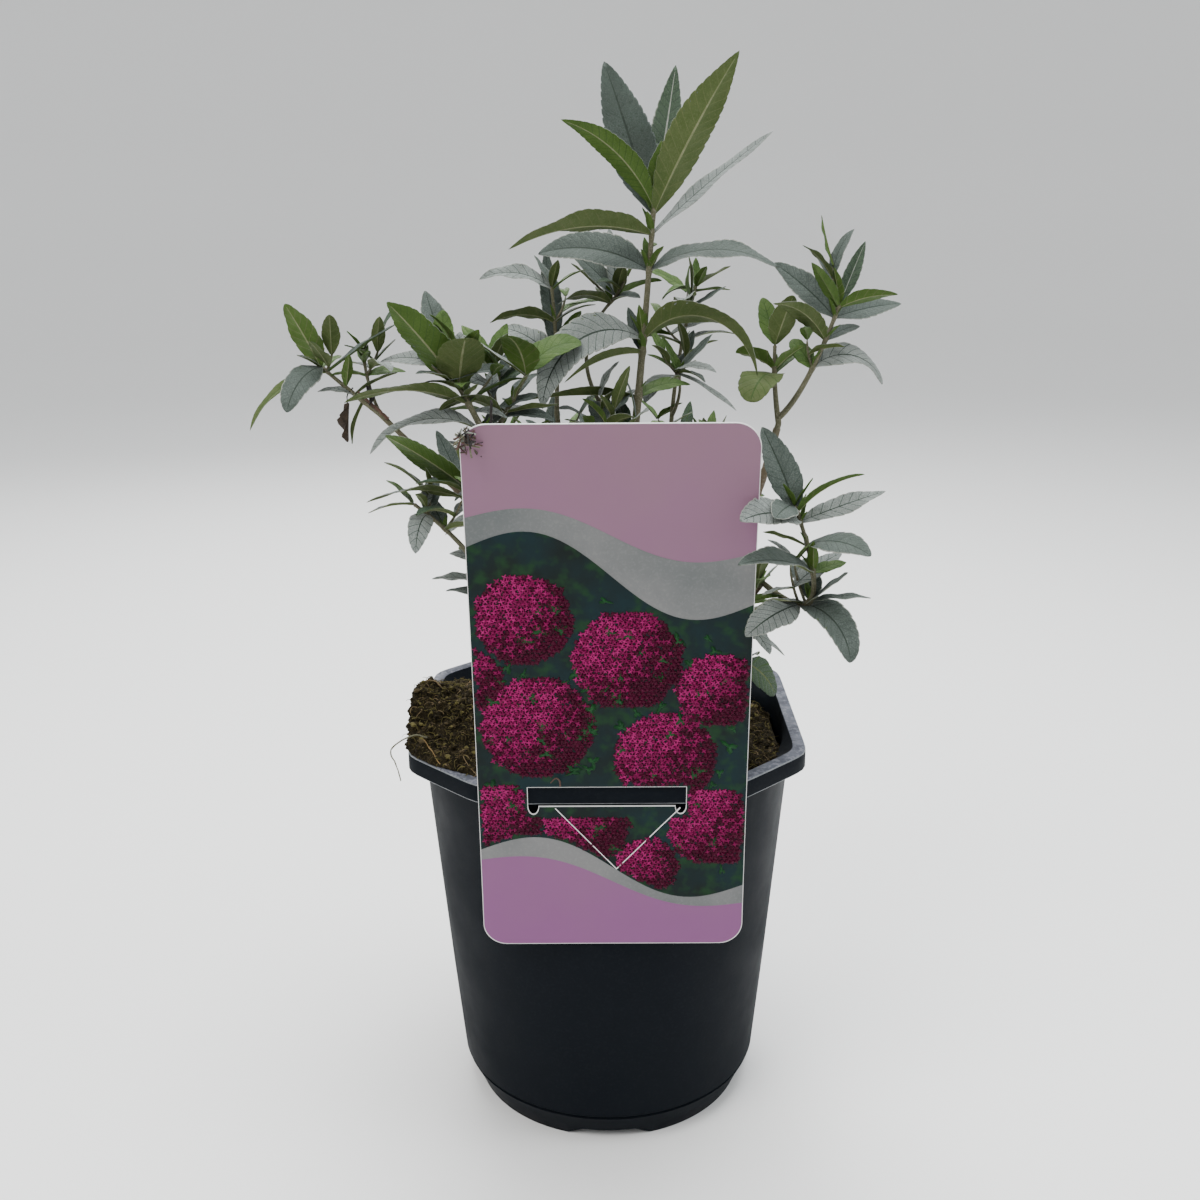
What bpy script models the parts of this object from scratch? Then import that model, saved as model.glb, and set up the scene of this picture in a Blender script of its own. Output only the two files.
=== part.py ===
"""Young butterfly bush in its three litre nursery pot, with the plant label on the rim.

Metres, +Z up. The pot stands on z = 0 with its axis on the origin, and -Y is the side
that the label faces. The shrub is a short woody stem with tapering boughs, and each
shoot is one mass: twigs with leaves in opposite pairs, every pair turned from the last.
"""
import math
import random

import bmesh
import bpy
from mathutils import Matrix, Vector
from mathutils.bvhtree import BVHTree

GAP = 0.0003              # between two solids that touch

# Pot
POT_HEIGHT = 0.1824
RIM_HALF = 0.085          # half of the width across the rim's flats
RIM_CHAMFER = 0.0335      # cut off each corner of the rim
RIM_FACE = 0.008          # height of the rim's outer face
RIM_INSET = 0.0055        # width of the rim's top at its flats
COLLAR_DEPTH = 0.0085
COLLAR_STEP = 0.0009
BODY_TOP_RADIUS = 0.0834
GROOVE_RADIUS = 0.0700
GROOVE_HEIGHT = 0.0152
FOOT_RADIUS = 0.0632
WALL = 0.0018
FLOOR_UNDER = 0.005       # the floor stands up inside the foot ring
FLOOR_TOP = 0.007
PAD_RADIUS = 0.014
NOTCH_COUNT = 4
NOTCH_WIDTH = (0.0448, 0.0235)   # at the ground, at its top
NOTCH_HEIGHT = 0.0046
DRAIN_COUNT = 8
DRAIN_RADIUS = 0.006
DRAIN_CIRCLE = 0.046
POT_SIDES = 36

# Compost
COMPOST_LEVEL = 0.1745
HEAP_HEIGHT = 0.0150      # how far the heap on the left stands over the rest
HEAP_HEADING = math.radians(188)
HEAP_SPREAD = math.radians(78)
LUMP = 0.0016
COMPOST_EDGE = RIM_HALF - RIM_INSET - 0.0006

# Label
LABEL_WIDTH = 0.1069
LABEL_ABOVE = 0.1542      # above the middle of its slot
LABEL_BELOW = 0.0688
LABEL_CORNER = 0.0095
LABEL_THICK = 0.0008
LABEL_LEAN = 0.09         # radians toward the front, at the slot
LABEL_CURL = 0.67         # more lean for each metre of height
LABEL_FRONT = -0.0862     # the card's mid plane at its slot
SLOT_WIDTH = 0.0631
SLOT_HEIGHT = 0.0086
SLOT_SHIFT = 0.0021       # the slot's centre is left of the card's
SLOT_HOOK = (0.0042, 0.0036)     # width and depth of the notch at each end
TAB_WIDTH = 0.058
TAB_LIP = 0.004
TAB_LIP_WIDTH = 0.016

# Woody stem
FOOT = Vector((0.004, 0.007, COMPOST_LEVEL + 0.0018))
TRUNK_TOP = Vector((0.0065, 0.0055, 0.214))
TRUNK_RADIUS = (0.0062, 0.0048)
TRUNK_SHARES = (0, 0.12, 0.3, 0.65, 1)
TRUNK_SIDES = 10
FLARE = 0.0034            # how much wider the stem is at the compost
FLARE_SHARE = 0.3         # and the share of its height that the flare takes
BOUGH_STEPS = 6
BOUGH_SIDES = 7
TWIG_STEPS = 4
TIP_GAP = 0.0004          # between a bough's tip and the twig that goes on from it

# Leaves
LEAF_BROAD = 0.28         # width as a share of length
LEAF_THICK = 0.016        # thickness as a share of length
LEAF_LEAST = 0.00095      # no leaf is thinner than this
PETIOLE = 0.00062
SECTIONS = ((0.4,), (0.36, 0.72), (0.28, 0.55, 0.8))     # short, long, long and arching
LONG_LEAF = 0.026
MUCH_ARCH = 45
WIDEST = 0.4              # where along its length a leaf is widest
ROLL = 28                 # degrees a leaf may turn about its midrib, either way
SWELL = 0.0006            # kept clear round each leaf
NUDGES = ((0, 0), (12, 4), (-12, 4), (24, -8), (-24, -8), (38, 8), (-38, 8))

COLOURS = {
    "pot": ((0.012, 0.017, 0.024), 0.5),
    "compost": ((0.055, 0.036, 0.018), 0.95),
    "label": ((0.29, 0.18, 0.25), 0.35),
    "bark": ((0.16, 0.105, 0.06), 0.8),
    "leaf": ((0.10, 0.16, 0.07), 0.6),
}

# Boughs: parent, share of the parent's length where it leaves, a middle point that
# bends it, its end, and the radii at its two ends.
BOUGHS = {
    "leader_bough": ("trunk", 0.80, (0.006, 0.006, 0.262), (0.0115, 0.001, 0.300), 0.0036, 0.0025),
    "left_bough": ("trunk", 0.62, (-0.022, 0.000, 0.226), (-0.046, -0.027, 0.304), 0.0033, 0.0021),
    "far_left_bough": ("left_bough", 0.42, (-0.052, -0.012, 0.274), (-0.092, -0.02, 0.320), 0.0021, 0.0015),
    "lower_left_bough": ("left_bough", 0.22, (-0.03, -0.026, 0.228), (-0.054, -0.044, 0.264), 0.0019, 0.0013),
    "low_left_bough": ("trunk", 0.38, (-0.018, -0.014, 0.200), (-0.038, -0.036, 0.224), 0.0018, 0.0012),
    "centre_bough": ("leader_bough", 0.30, (0.001, 0.018, 0.272), (0.000, 0.025, 0.314), 0.0019, 0.0013),
    "back_centre_bough": ("leader_bough", 0.14, (-0.01, 0.011, 0.264), (-0.021, 0.014, 0.314), 0.002, 0.0014),
    "middle_bough": ("leader_bough", 0.45, (0.006, -0.009, 0.278), (0.002, -0.013, 0.298), 0.0015, 0.0011),
    "right_bough": ("trunk", 0.60, (0.044, 0.006, 0.226), (0.073, -0.010, 0.313), 0.0031, 0.0021),
    "right_back_bough": ("right_bough", 0.25, (0.026, 0.026, 0.246), (0.03, 0.04, 0.302), 0.0019, 0.0014),
    "lower_right_bough": ("trunk", 0.45, (0.03, -0.032, 0.214), (0.06, -0.074, 0.262), 0.0026, 0.0017),
    "low_right_bough": ("lower_right_bough", 0.3, (0.036, -0.028, 0.214), (0.05, -0.046, 0.228), 0.0015, 0.0011),
    "back_bough": ("trunk", 0.58, (0.002, 0.036, 0.220), (-0.004, 0.066, 0.256), 0.0027, 0.0015),
    "back_left_bough": ("back_bough", 0.34, (-0.022, 0.036, 0.242), (-0.040, 0.052, 0.268), 0.0018, 0.0012),
    "back_right_bough": ("back_bough", 0.48, (0.020, 0.048, 0.242), (0.040, 0.058, 0.264), 0.0018, 0.0012),
    "inner_left_bough": ("left_bough", 0.52, (-0.028, 0.004, 0.264), (-0.026, 0.018, 0.280), 0.0014, 0.0010),
    "inner_right_bough": ("right_bough", 0.50, (0.048, 0.012, 0.262), (0.046, 0.018, 0.276), 0.0014, 0.0010),
}


def whorls(count, low, high, heading, length, rise, arch, broad=LEAF_BROAD, turn=90):
    """Opposite pairs, evenly spaced up a twig, each turned from the one below.

    length, rise and arch are (lowest pair, topmost pair)."""
    rows = []
    for i in range(count):
        share = i / max(count - 1, 1)
        first = (heading + turn * i, *(a + (b - a) * share for a, b in (rise, length, arch)), broad)
        rows.append((low + (high - low) * share, first, opposite(first)))
    return rows


def opposite(leaf):
    return (leaf[0] + 180, leaf[1], leaf[2] * 0.94, *leaf[3:])


# Shoots. Each twig is a middle point, an end and two radii; the first goes on from the
# bough, the others branch from it at a share of its length. Leaf rows are a share of the
# twig's length and one leaf or two, as heading, rise, length, arch, breadth and roll:
# headings are degrees from +X toward +Y, rise is degrees over the level at the leaf's
# root, arch is how far the leaf bends down by its tip, breadth is a share of its length,
# and roll is its turn about the midrib, which follows the seed where it isn't given.
SHOOTS = {
    "leader_foliage": ("leader_bough", [
        (0, (0.0165, 0.000, 0.350), (0.0207, 0.000, 0.404), 0.0024, 0.0012, [
            (0.25, (200, 8, 0.052, 16, 0.2, 25), (20, 35, 0.026, 50, 0.34)),
            (0.43, (218, 5, 0.042, 40, 0.24, 30), (140, 68, 0.020, 0, 0.34, -30)),
            (0.48, (199, 28, 0.067, 118, 0.28, -40), (-29, 50, 0.068, 128, 0.24, -35)),
            (0.75, (165, 34, 0.050, 50, 0.36, -45), (-13, 36, 0.057, 66, 0.28, 25)),
            (0.89, (211, 24, 0.070, 56, 0.26, 35), (27, 38, 0.070, 6, 0.18, 15)),
            (0.965, (148, 71, 0.065, 4, 0.31, -52), (-26, 65, 0.071, 8, 0.26, -50)),
            (0.99, (217, 58, 0.058, 44, 0.26, 42), (46, 70, 0.063, -6, 0.22, 28)),
            (1.0, (125, 72, 0.022, 6, 0.3), (-60, 72, 0.024, 10, 0.3)),
        ]),
    ]),
    "centre_foliage": ("centre_bough", [
        (0, (-0.008, 0.025, 0.342), (0.0055, 0.025, 0.366), 0.0013, 0.0008, [
            (0.93, (214, 34, 0.030, 66, 0.3, 30), (30, 36, 0.028, 40, 0.3)),
            (0.96, (172, 4, 0.027, 30, 0.16), (-20, 34, 0.016, 40, 0.4)),
            (1.0, (112, 78, 0.030, 8, 0.3), (-75, 62, 0.020, 40, 0.34)),
            (1.0, (160, 62, 0.028, 18, 0.42, -40), (40, 66, 0.024, 10, 0.32, 20)),
        ]),
    ]),
    "back_centre_foliage": ("back_centre_bough", [
        (0, (-0.021, 0.013, 0.344), (-0.0225, 0.012, 0.371), 0.0014, 0.0008, [
            (0.42, (150, 54, 0.033, 50, 0.36, -30), (32, 54, 0.027, 6, 0.36, 30)),
            (0.50, (96, 84, 0.046, -4, 0.22, 0)),
            (0.74, (201, 30, 0.031, 54, 0.32, 30), (15, 40, 0.020, 40, 0.32)),
            (0.98, (184, 42, 0.033, 66, 0.28, -35), (-20, 44, 0.018, 30, 0.3)),
            (1.0, (140, 58, 0.016, 10, 0.32), (290, 60, 0.015, 20, 0.32)),
        ]),
    ]),
    "middle_foliage": ("middle_bough", [
        (0, (0.001, -0.014, 0.307), (0.001, -0.015, 0.316), 0.0011, 0.0008, [
            (0.4, (184, 26, 0.027, 30, 0.36, 25), (8, 42, 0.025, 46, 0.36, 20)),
            (0.85, (120, 42, 0.020, 20, 0.42), (-45, 48, 0.018, 50, 0.42)),
            (1.0, (172, 58, 0.015, 30, 0.42, 30), (10, 68, 0.014, 10, 0.42, -20)),
        ]),
    ]),
    "left_foliage": ("left_bough", [
        (0, (-0.052, -0.030, 0.320), (-0.0655, -0.030, 0.346), 0.0020, 0.0010, [
            (0.28, (228, 30, 0.052, 92, 0.28, -12), (48, 46, 0.028, 60, 0.36)),
            (0.55, (196, 30, 0.052, 50, 0.24, 25), (20, 40, 0.026, 40, 0.34)),
            (0.72, (216, 55, 0.047, 10, 0.36, 40), (-72, 66, 0.028, 34, 0.72, 0)),
            (0.9, (122, 60, 0.035, 6, 0.36, -20), (150, 18, 0.036, 34, 0.28, -30)),
            (1.0, (80, 76, 0.019, 4, 0.5), (250, 64, 0.016, 20, 0.4)),
        ]),
        (0.12, (-0.0435, -0.025, 0.3176), (-0.0319, -0.025, 0.3377), 0.0016, 0.0009, [
            (0.42, (196, 55, 0.030, 96, 0.44, 20), (14, 26, 0.022, 40, 0.36)),
            (0.66, (200, 66, 0.035, 112, 0.34, 20), (60, 40, 0.024, 40, 0.34)),
            (1.0, (252, 76, 0.025, 62, 0.62, 0), (50, 58, 0.028, 74, 0.62, 20)),
            (1.0, (168, 36, 0.033, 10, 0.14), (-32, 68, 0.026, 4, 0.16)),
        ]),
        (0.10, (-0.0455, -0.018, 0.321), (-0.0475, -0.010, 0.339), 0.0011, 0.0008, [
            (0.45, (172, 22, 0.024, 40, 0.34, 25), (-6, 34, 0.024, 50, 0.34, 25)),
            (0.75, (188, 40, 0.026, 50, 0.3, -30), (20, 46, 0.022, 30, 0.34, 30)),
            (1.0, (140, 50, 0.025, 20, 0.32, -25), (-40, 66, 0.018, 20, 0.4, -20)),
            (1.0, (70, 60, 0.022, 20, 0.34), (205, 56, 0.022, 40, 0.3, 30)),
        ]),
    ]),
    "far_left_foliage": ("far_left_bough", [
        (0, (-0.105, -0.020, 0.331), (-0.1165, -0.020, 0.341), 0.0014, 0.0008, [
            (0.35, (195, -56, 0.019, 30, 0.28)),
            (0.92, (205, -2, 0.042, 66, 0.17), (6, 36, 0.035, 6, 0.15)),
            (1.0, (200, 66, 0.029, 6, 0.44, 50), (245, 2, 0.030, 72, 0.44, -15)),
            (1.0, (60, 30, 0.014, 30, 0.3), (215, 38, 0.012, 20, 0.3)),
        ]),
        (0.06, (-0.098, -0.016, 0.333), (-0.1005, -0.012, 0.3475), 0.0009, 0.0007,
            whorls(3, 0.62, 1.0, 20, (0.017, 0.010), (24, 56), (40, 10), 0.34)),
    ]),
    "lower_left_foliage": ("lower_left_bough", [
        (0, (-0.063, -0.048, 0.277), (-0.077, -0.050, 0.290), 0.0013, 0.0008, [
            (0.55, (130, 52, 0.020, 30, 0.4), (-20, 22, 0.022, 30, 0.42)),
            (0.80, (262, 8, 0.024, 80, 0.4), (84, 56, 0.020, 30, 0.4)),
            (1.0, (212, 14, 0.020, 34, 0.3), (142, 44, 0.017, 30, 0.3)),
        ]),
        (0.10, (-0.053, -0.047, 0.285), (-0.0565, -0.050, 0.306), 0.0010, 0.0007, [
            (0.60, (193, 30, 0.044, 56, 0.24, 25), (35, 30, 0.026, 30, 0.34)),
            (0.72, (203, 46, 0.040, 12, 0.42, 50), (70, 40, 0.022, 30, 0.36)),
            (1.0, (118, 66, 0.017, 6, 0.4), (-30, 74, 0.014, 4, 0.5)),
        ]),
    ]),
    "low_left_foliage": ("low_left_bough", [
        (0, (-0.043, -0.040, 0.232), (-0.047, -0.044, 0.246), 0.0011, 0.0007, [
            (0.25, (195, 4, 0.018, 50, 0.34), (40, 24, 0.020, 30, 0.34)),
            (0.62, (110, 30, 0.020, 30, 0.34), (-65, 40, 0.020, 60, 0.34)),
            (1.0, (190, 48, 0.021, 60, 0.34), (20, 50, 0.018, 30, 0.34)),
        ]),
    ]),
    "right_foliage": ("right_bough", [
        (0, (0.0715, -0.010, 0.331), (0.071, -0.010, 0.348), 0.0017, 0.0009, [
            (0.66, (238, 14, 0.026, 74, 0.7, 0), (30, 46, 0.018, 30, 0.46)),
            (0.72, (176, 40, 0.018, 40, 0.64, 30), (-25, 48, 0.016, 20, 0.44)),
            (1.0, (122, 66, 0.021, 10, 0.46, -20), (-50, 66, 0.023, 10, 0.48, -30)),
        ]),
        (0.14, (0.085, -0.010, 0.334), (0.0975, -0.010, 0.365), 0.0016, 0.0009, [
            (0.47, (5, 44, 0.037, 74, 0.36, 30), (158, 56, 0.015, 20, 0.7, -30)),
            (0.70, (204, 52, 0.036, 54, 0.28, 30), (30, 30, 0.020, 30, 0.34)),
            (0.88, (36, 20, 0.038, 10, 0.28, 45), (165, 50, 0.034, 16, 0.38, -55)),
            (0.96, (-19, 40, 0.034, 32, 0.3, -45), (236, 58, 0.031, 12, 0.32, 25)),
            (1.0, (48, 60, 0.034, 0, 0.28, 35), (220, 64, 0.016, 10, 0.34)),
        ]),
    ]),
    "right_back_foliage": ("right_back_bough", [
        (0, (0.034, 0.040, 0.338), (0.0413, 0.040, 0.369), 0.0014, 0.0008, [
            (0.62, (190, 30, 0.021, 40, 0.34), (10, 34, 0.026, 50, 0.24)),
            (0.80, (100, 30, 0.022, 40, 0.34), (-80, 30, 0.018, 60, 0.4)),
            (0.97, (186, 30, 0.017, 90, 0.4), (0, 10, 0.016, 20, 0.34)),
            (1.0, (95, 74, 0.013, 4, 0.34), (-70, 50, 0.014, 20, 0.34)),
        ]),
        (0.14, (0.0335, 0.030, 0.322), (0.0325, 0.019, 0.3335), 0.0011, 0.0007, [
            (0.90, (250, 18, 0.026, 64, 0.46), (70, 50, 0.018, 30, 0.3)),
            (0.96, (-24, -16, 0.031, 26, 0.13), (150, 40, 0.018, 30, 0.3)),
            (1.0, (0, 52, 0.022, 6, 0.27), (140, 66, 0.018, 20, 0.27)),
            (1.0, (-34, 12, 0.015, 56, 0.5)),
        ]),
    ]),
    "lower_right_foliage": ("lower_right_bough", [
        (0, (0.0775, -0.092, 0.262), (0.0705, -0.088, 0.297), 0.0015, 0.0009, [
            (0.33, (228, 8, 0.037, 24, 0.36, -25), (-44, 12, 0.034, 96, 0.5, 10)),
            (0.38, (-42, 44, 0.023, 4, 0.42), (196, 12, 0.024, 70, 0.46)),
            (0.42, (-18, 20, 0.023, 26, 0.24), (60, 46, 0.017, 10, 0.56)),
            (0.60, (196, 24, 0.016, 30, 0.4), (22, 20, 0.015, 20, 0.4)),
            (0.76, (-35, 26, 0.027, 56, 0.48, 20), (150, 22, 0.018, 20, 0.48)),
            (0.90, (231, 12, 0.036, 34, 0.4, -30), (12, 18, 0.034, 4, 0.28, 35)),
            (0.96, (152, 68, 0.034, 10, 0.38, -50), (2, 52, 0.029, 46, 0.24, -30)),
            (1.0, (30, 66, 0.012, 4, 0.26), (200, 60, 0.012, 4, 0.3)),
        ]),
    ]),
    "low_right_foliage": ("low_right_bough", [
        (0, (0.054, -0.050, 0.237), (0.057, -0.053, 0.246), 0.0010, 0.0007, [
            (0.30, (-4, 10, 0.024, 60, 0.4), (170, 20, 0.020, 30, 0.34)),
            (0.62, (-62, 14, 0.026, 56, 0.4), (110, 30, 0.022, 30, 0.34)),
            (1.0, (200, 46, 0.018, 30, 0.34), (30, 62, 0.018, 10, 0.34)),
        ]),
        (0.30, (0.0575, -0.039, 0.224), (0.060, -0.027, 0.214), 0.0009, 0.0007, [
            (1.0, (20, -26, 0.024, 40, 0.6), (70, 10, 0.020, 40, 0.34)),
        ]),
    ]),
    "back_left_foliage": ("back_left_bough", [
        (0, (-0.045, 0.058, 0.280), (-0.049, 0.064, 0.296), 0.0013, 0.0008,
            whorls(5, 0.1, 1.0, 20, (0.044, 0.018), (0, 56), (44, 8), 0.3)),
        (0.08, (-0.054, 0.046, 0.268), (-0.064, 0.042, 0.272), 0.0009, 0.0007,
            whorls(3, 0.4, 1.0, 100, (0.028, 0.016), (10, 50), (50, 10), 0.32)),
    ]),
    "back_right_foliage": ("back_right_bough", [
        (0, (0.045, 0.064, 0.277), (0.050, 0.071, 0.293), 0.0013, 0.0008,
            whorls(5, 0.1, 1.0, 70, (0.044, 0.018), (0, 56), (44, 8), 0.3)),
        (0.08, (0.053, 0.052, 0.264), (0.063, 0.046, 0.268), 0.0009, 0.0007,
            whorls(3, 0.4, 1.0, 10, (0.026, 0.016), (10, 50), (50, 10), 0.32)),
    ]),
    "back_foliage": ("back_bough", [
        (0, (-0.006, 0.078, 0.270), (-0.006, 0.086, 0.288), 0.0014, 0.0008,
            whorls(6, 0.1, 1.0, 0, (0.046, 0.018), (-4, 56), (44, 8), 0.29)),
        (0.06, (-0.010, 0.076, 0.250), (-0.016, 0.090, 0.247), 0.0009, 0.0007,
            whorls(3, 0.5, 1.0, 40, (0.028, 0.016), (0, 40), (60, 10), 0.32)),
    ]),
    "inner_left_foliage": ("inner_left_bough", [
        (0, (-0.026, 0.024, 0.287), (-0.028, 0.030, 0.297), 0.0010, 0.0007,
            whorls(4, 0.2, 1.0, 60, (0.034, 0.016), (6, 50), (46, 10), 0.3)),
    ]),
    "inner_right_foliage": ("inner_right_bough", [
        (0, (0.045, 0.022, 0.283), (0.046, 0.028, 0.293), 0.0010, 0.0007,
            whorls(4, 0.2, 1.0, 130, (0.032, 0.016), (6, 50), (46, 10), 0.3)),
    ]),
}


def rounded(a, b, c, share):
    """A point of the curve from a to c that b bends."""
    a, b, c = Vector(a), Vector(b), Vector(c)
    return a.lerp(b, share).lerp(b.lerp(c, share), share)


def curve_points(a, b, c, count):
    """The curve through a, near b, to c: b is on the curve, half way along."""
    pull = Vector(b) * 2 - (Vector(a) + Vector(c)) / 2
    return [rounded(a, pull, c, i / count) for i in range(count + 1)]


def at_share(points, share):
    """The point at a share of a line's length."""
    lengths = [(b - a).length for a, b in zip(points, points[1:])]
    left = share * sum(lengths)
    for a, b, length in zip(points, points[1:], lengths):
        if left <= length:
            return a.lerp(b, left / length)
        left -= length
    return points[-1].copy()


def material(name):
    made = bpy.data.materials.get(name) or bpy.data.materials.new(name)
    made.use_nodes = True
    shader = made.node_tree.nodes["Principled BSDF"]
    colour, roughness = COLOURS[name]
    shader.inputs["Base Color"].default_value = (*colour, 1)
    shader.inputs["Roughness"].default_value = roughness
    shader.inputs["Metallic"].default_value = 0
    return made


def new_object(name, mesh, collection, material_name=None):
    made = bpy.data.objects.new(name, mesh)
    collection.objects.link(made)
    if material_name:
        mesh.materials.clear()
        mesh.materials.append(material(material_name))
    return made


def evaluated(source):
    """The object's mesh as its modifiers make it."""
    bpy.context.view_layer.update()
    graph = bpy.context.evaluated_depsgraph_get()
    return bpy.data.meshes.new_from_object(source.evaluated_get(graph))


def collection_named(name):
    made = bpy.data.collections.new(name)
    bpy.context.scene.collection.children.link(made)
    return made


def cutter(name, mesh, collection):
    made = new_object(name, mesh, collection)
    made.hide_render = True
    made.display_type = "WIRE"
    return made


def boolean(target, other, operation):
    """Cut or join another object, or every object of a collection, and apply it."""
    modifier = target.modifiers.new(operation.title(), "BOOLEAN")
    modifier.operation = operation
    modifier.solver = "EXACT"
    if isinstance(other, bpy.types.Collection):
        modifier.operand_type = "COLLECTION"
        modifier.collection = other
    else:
        modifier.object = other
    mesh = evaluated(target)
    target.modifiers.clear()
    target.data = mesh


def tube_mesh(points, radii, sides):
    """A tapering limb: a curve with a regular outline swept along it, capped and welded."""
    ring = bpy.data.curves.new("outline", "CURVE")
    spline = ring.splines.new("POLY")
    spline.points.add(sides - 1)
    for i, point in enumerate(spline.points):
        angle = 2 * math.pi * i / sides
        point.co = (math.cos(angle), math.sin(angle), 0, 1)
    spline.use_cyclic_u = True
    outline = bpy.data.objects.new("outline", ring)
    bpy.context.scene.collection.objects.link(outline)

    line = bpy.data.curves.new("line", "CURVE")
    line.dimensions = "3D"
    line.bevel_mode = "OBJECT"
    line.bevel_object = outline
    line.use_fill_caps = True
    spline = line.splines.new("POLY")
    spline.points.add(len(points) - 1)
    for point, place, radius in zip(spline.points, points, radii):
        point.co = (*place, 1)
        point.radius = radius
    swept = bpy.data.objects.new("line", line)
    bpy.context.scene.collection.objects.link(swept)
    mesh = evaluated(swept)
    for used in (swept, outline):
        bpy.data.objects.remove(used)

    shape = bmesh.new()
    shape.from_mesh(mesh)
    bmesh.ops.remove_doubles(shape, verts=shape.verts, dist=0.00001)
    bmesh.ops.recalc_face_normals(shape, faces=shape.faces)
    shape.to_mesh(mesh)
    shape.free()
    return mesh


def loft_mesh(rings):
    """Skin a run of rings with the same number of points, closed by a face at each end."""
    shape = bmesh.new()
    loops = [[shape.verts.new(point) for point in ring] for ring in rings]
    for low, high in zip(loops, loops[1:]):
        for i in range(len(low)):
            j = (i + 1) % len(low)
            shape.faces.new((low[i], low[j], high[j], high[i]))
    shape.faces.new(list(reversed(loops[0])))
    shape.faces.new(loops[-1])
    bmesh.ops.recalc_face_normals(shape, faces=shape.faces)
    mesh = bpy.data.meshes.new("loft")
    shape.to_mesh(mesh)
    shape.free()
    return mesh


def square_radius(angle, half):
    """Distance from the axis to a square with its corners cut, at one heading."""
    along, across = abs(math.cos(angle)), abs(math.sin(angle))
    flat = half / max(along, across)
    cut = (2 * half - RIM_CHAMFER * half / RIM_HALF) / (along + across)
    return min(flat, cut)


def ring_headings():
    """Headings of the pot's points, with a point at each corner of the rim."""
    quarter = POT_SIDES // 4
    corner = math.atan2(RIM_HALF - RIM_CHAMFER, RIM_HALF)
    flat_steps = quarter // 3
    headings = []
    for side in range(4):
        for i in range(quarter):
            if i < 2 * flat_steps:
                step = (i - flat_steps) / flat_steps * corner
            else:
                share = (i - 2 * flat_steps) / (quarter - 2 * flat_steps)
                step = corner + share * (math.pi / 2 - 2 * corner)
            headings.append(side * math.pi / 2 + step)
    return headings


def pot_ring(height, size, square=0.0):
    """One ring of the pot: round, or drawn out toward the rim's cut square."""
    ring = []
    for heading in ring_headings():
        radius = size + (square_radius(heading, size) - size) * square
        ring.append((radius * math.cos(heading), radius * math.sin(heading), height))
    return ring


def build_pot(collection, cutters):
    face_low = POT_HEIGHT - RIM_FACE
    collar_low = face_low - COLLAR_DEPTH
    soft = 0.0007
    outer = [
        pot_ring(0, FOOT_RADIUS),
        pot_ring(GROOVE_HEIGHT - 2 * soft, GROOVE_RADIUS - soft),
        pot_ring(GROOVE_HEIGHT - soft, GROOVE_RADIUS - 2 * soft),
        pot_ring(GROOVE_HEIGHT, GROOVE_RADIUS),
        pot_ring(collar_low, BODY_TOP_RADIUS),
        pot_ring(collar_low + soft, BODY_TOP_RADIUS + COLLAR_STEP),
        pot_ring(face_low, BODY_TOP_RADIUS + COLLAR_STEP),
        pot_ring(face_low, RIM_HALF, 1),
        pot_ring(POT_HEIGHT - soft, RIM_HALF, 1),
        pot_ring(POT_HEIGHT, RIM_HALF - soft, 1),
    ]
    inner_half = RIM_HALF - RIM_INSET
    inner = [
        pot_ring(POT_HEIGHT, inner_half + soft, 1),
        pot_ring(POT_HEIGHT - soft, inner_half, 1),
        pot_ring(face_low + 0.002, inner_half + 0.0004, 0.3),
        pot_ring(face_low - 0.0035, inner_half + 0.001),
        pot_ring(collar_low - 0.0035, BODY_TOP_RADIUS - 0.0003 - WALL),
        pot_ring(GROOVE_HEIGHT, GROOVE_RADIUS - 0.0002 - WALL),
        pot_ring(FLOOR_TOP, FOOT_RADIUS + 0.001),
    ]
    under = [
        pot_ring(0, PAD_RADIUS),
        pot_ring(FLOOR_UNDER, PAD_RADIUS + 0.001),
        pot_ring(FLOOR_UNDER, FOOT_RADIUS - 0.0002),
        pot_ring(0, FOOT_RADIUS - 0.002),
    ]
    pot = new_object("pot", loft_mesh(under + outer + inner), collection, "pot")

    for i in range(NOTCH_COUNT):
        low, high = (width / 2 for width in NOTCH_WIDTH)
        near, far = FOOT_RADIUS * 0.7, FOOT_RADIUS * 1.2
        below = -0.002
        ends = [[(x, -low, below), (x, low, below), (x, high, NOTCH_HEIGHT), (x, -high, NOTCH_HEIGHT)]
                for x in (near, far)]
        notch = cutter(f"notch_cutter_{i}", loft_mesh(ends), cutters)
        notch.matrix_world = Matrix.Rotation(i * 2 * math.pi / NOTCH_COUNT - math.pi / 2, 4, "Z")
        boolean(pot, notch, "DIFFERENCE")
    for i in range(DRAIN_COUNT):
        shape = bmesh.new()
        bmesh.ops.create_cone(shape, cap_ends=True, segments=10, radius1=DRAIN_RADIUS,
                              radius2=DRAIN_RADIUS, depth=FLOOR_TOP)
        mesh = bpy.data.meshes.new("drain")
        shape.to_mesh(mesh)
        shape.free()
        angle = (i + 0.5) * 2 * math.pi / DRAIN_COUNT
        drain = cutter(f"drain_cutter_{i}", mesh, cutters)
        drain.location = (DRAIN_CIRCLE * math.cos(angle), DRAIN_CIRCLE * math.sin(angle), FLOOR_TOP)
        boolean(pot, drain, "DIFFERENCE")
    return pot


def heap(heading):
    """1 in the middle of the heap, 0 on the far side of the pot."""
    away = abs((heading - HEAP_HEADING + math.pi) % (2 * math.pi) - math.pi)
    share = min(away / HEAP_SPREAD, 1)
    return 0.5 + 0.5 * math.cos(math.pi * share)


def lumps(x, y):
    return LUMP * (math.sin(x * 410 + 1.3) * math.cos(y * 370) + 0.7 * math.sin(x * 690 - y * 530 + 2.1))


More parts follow.
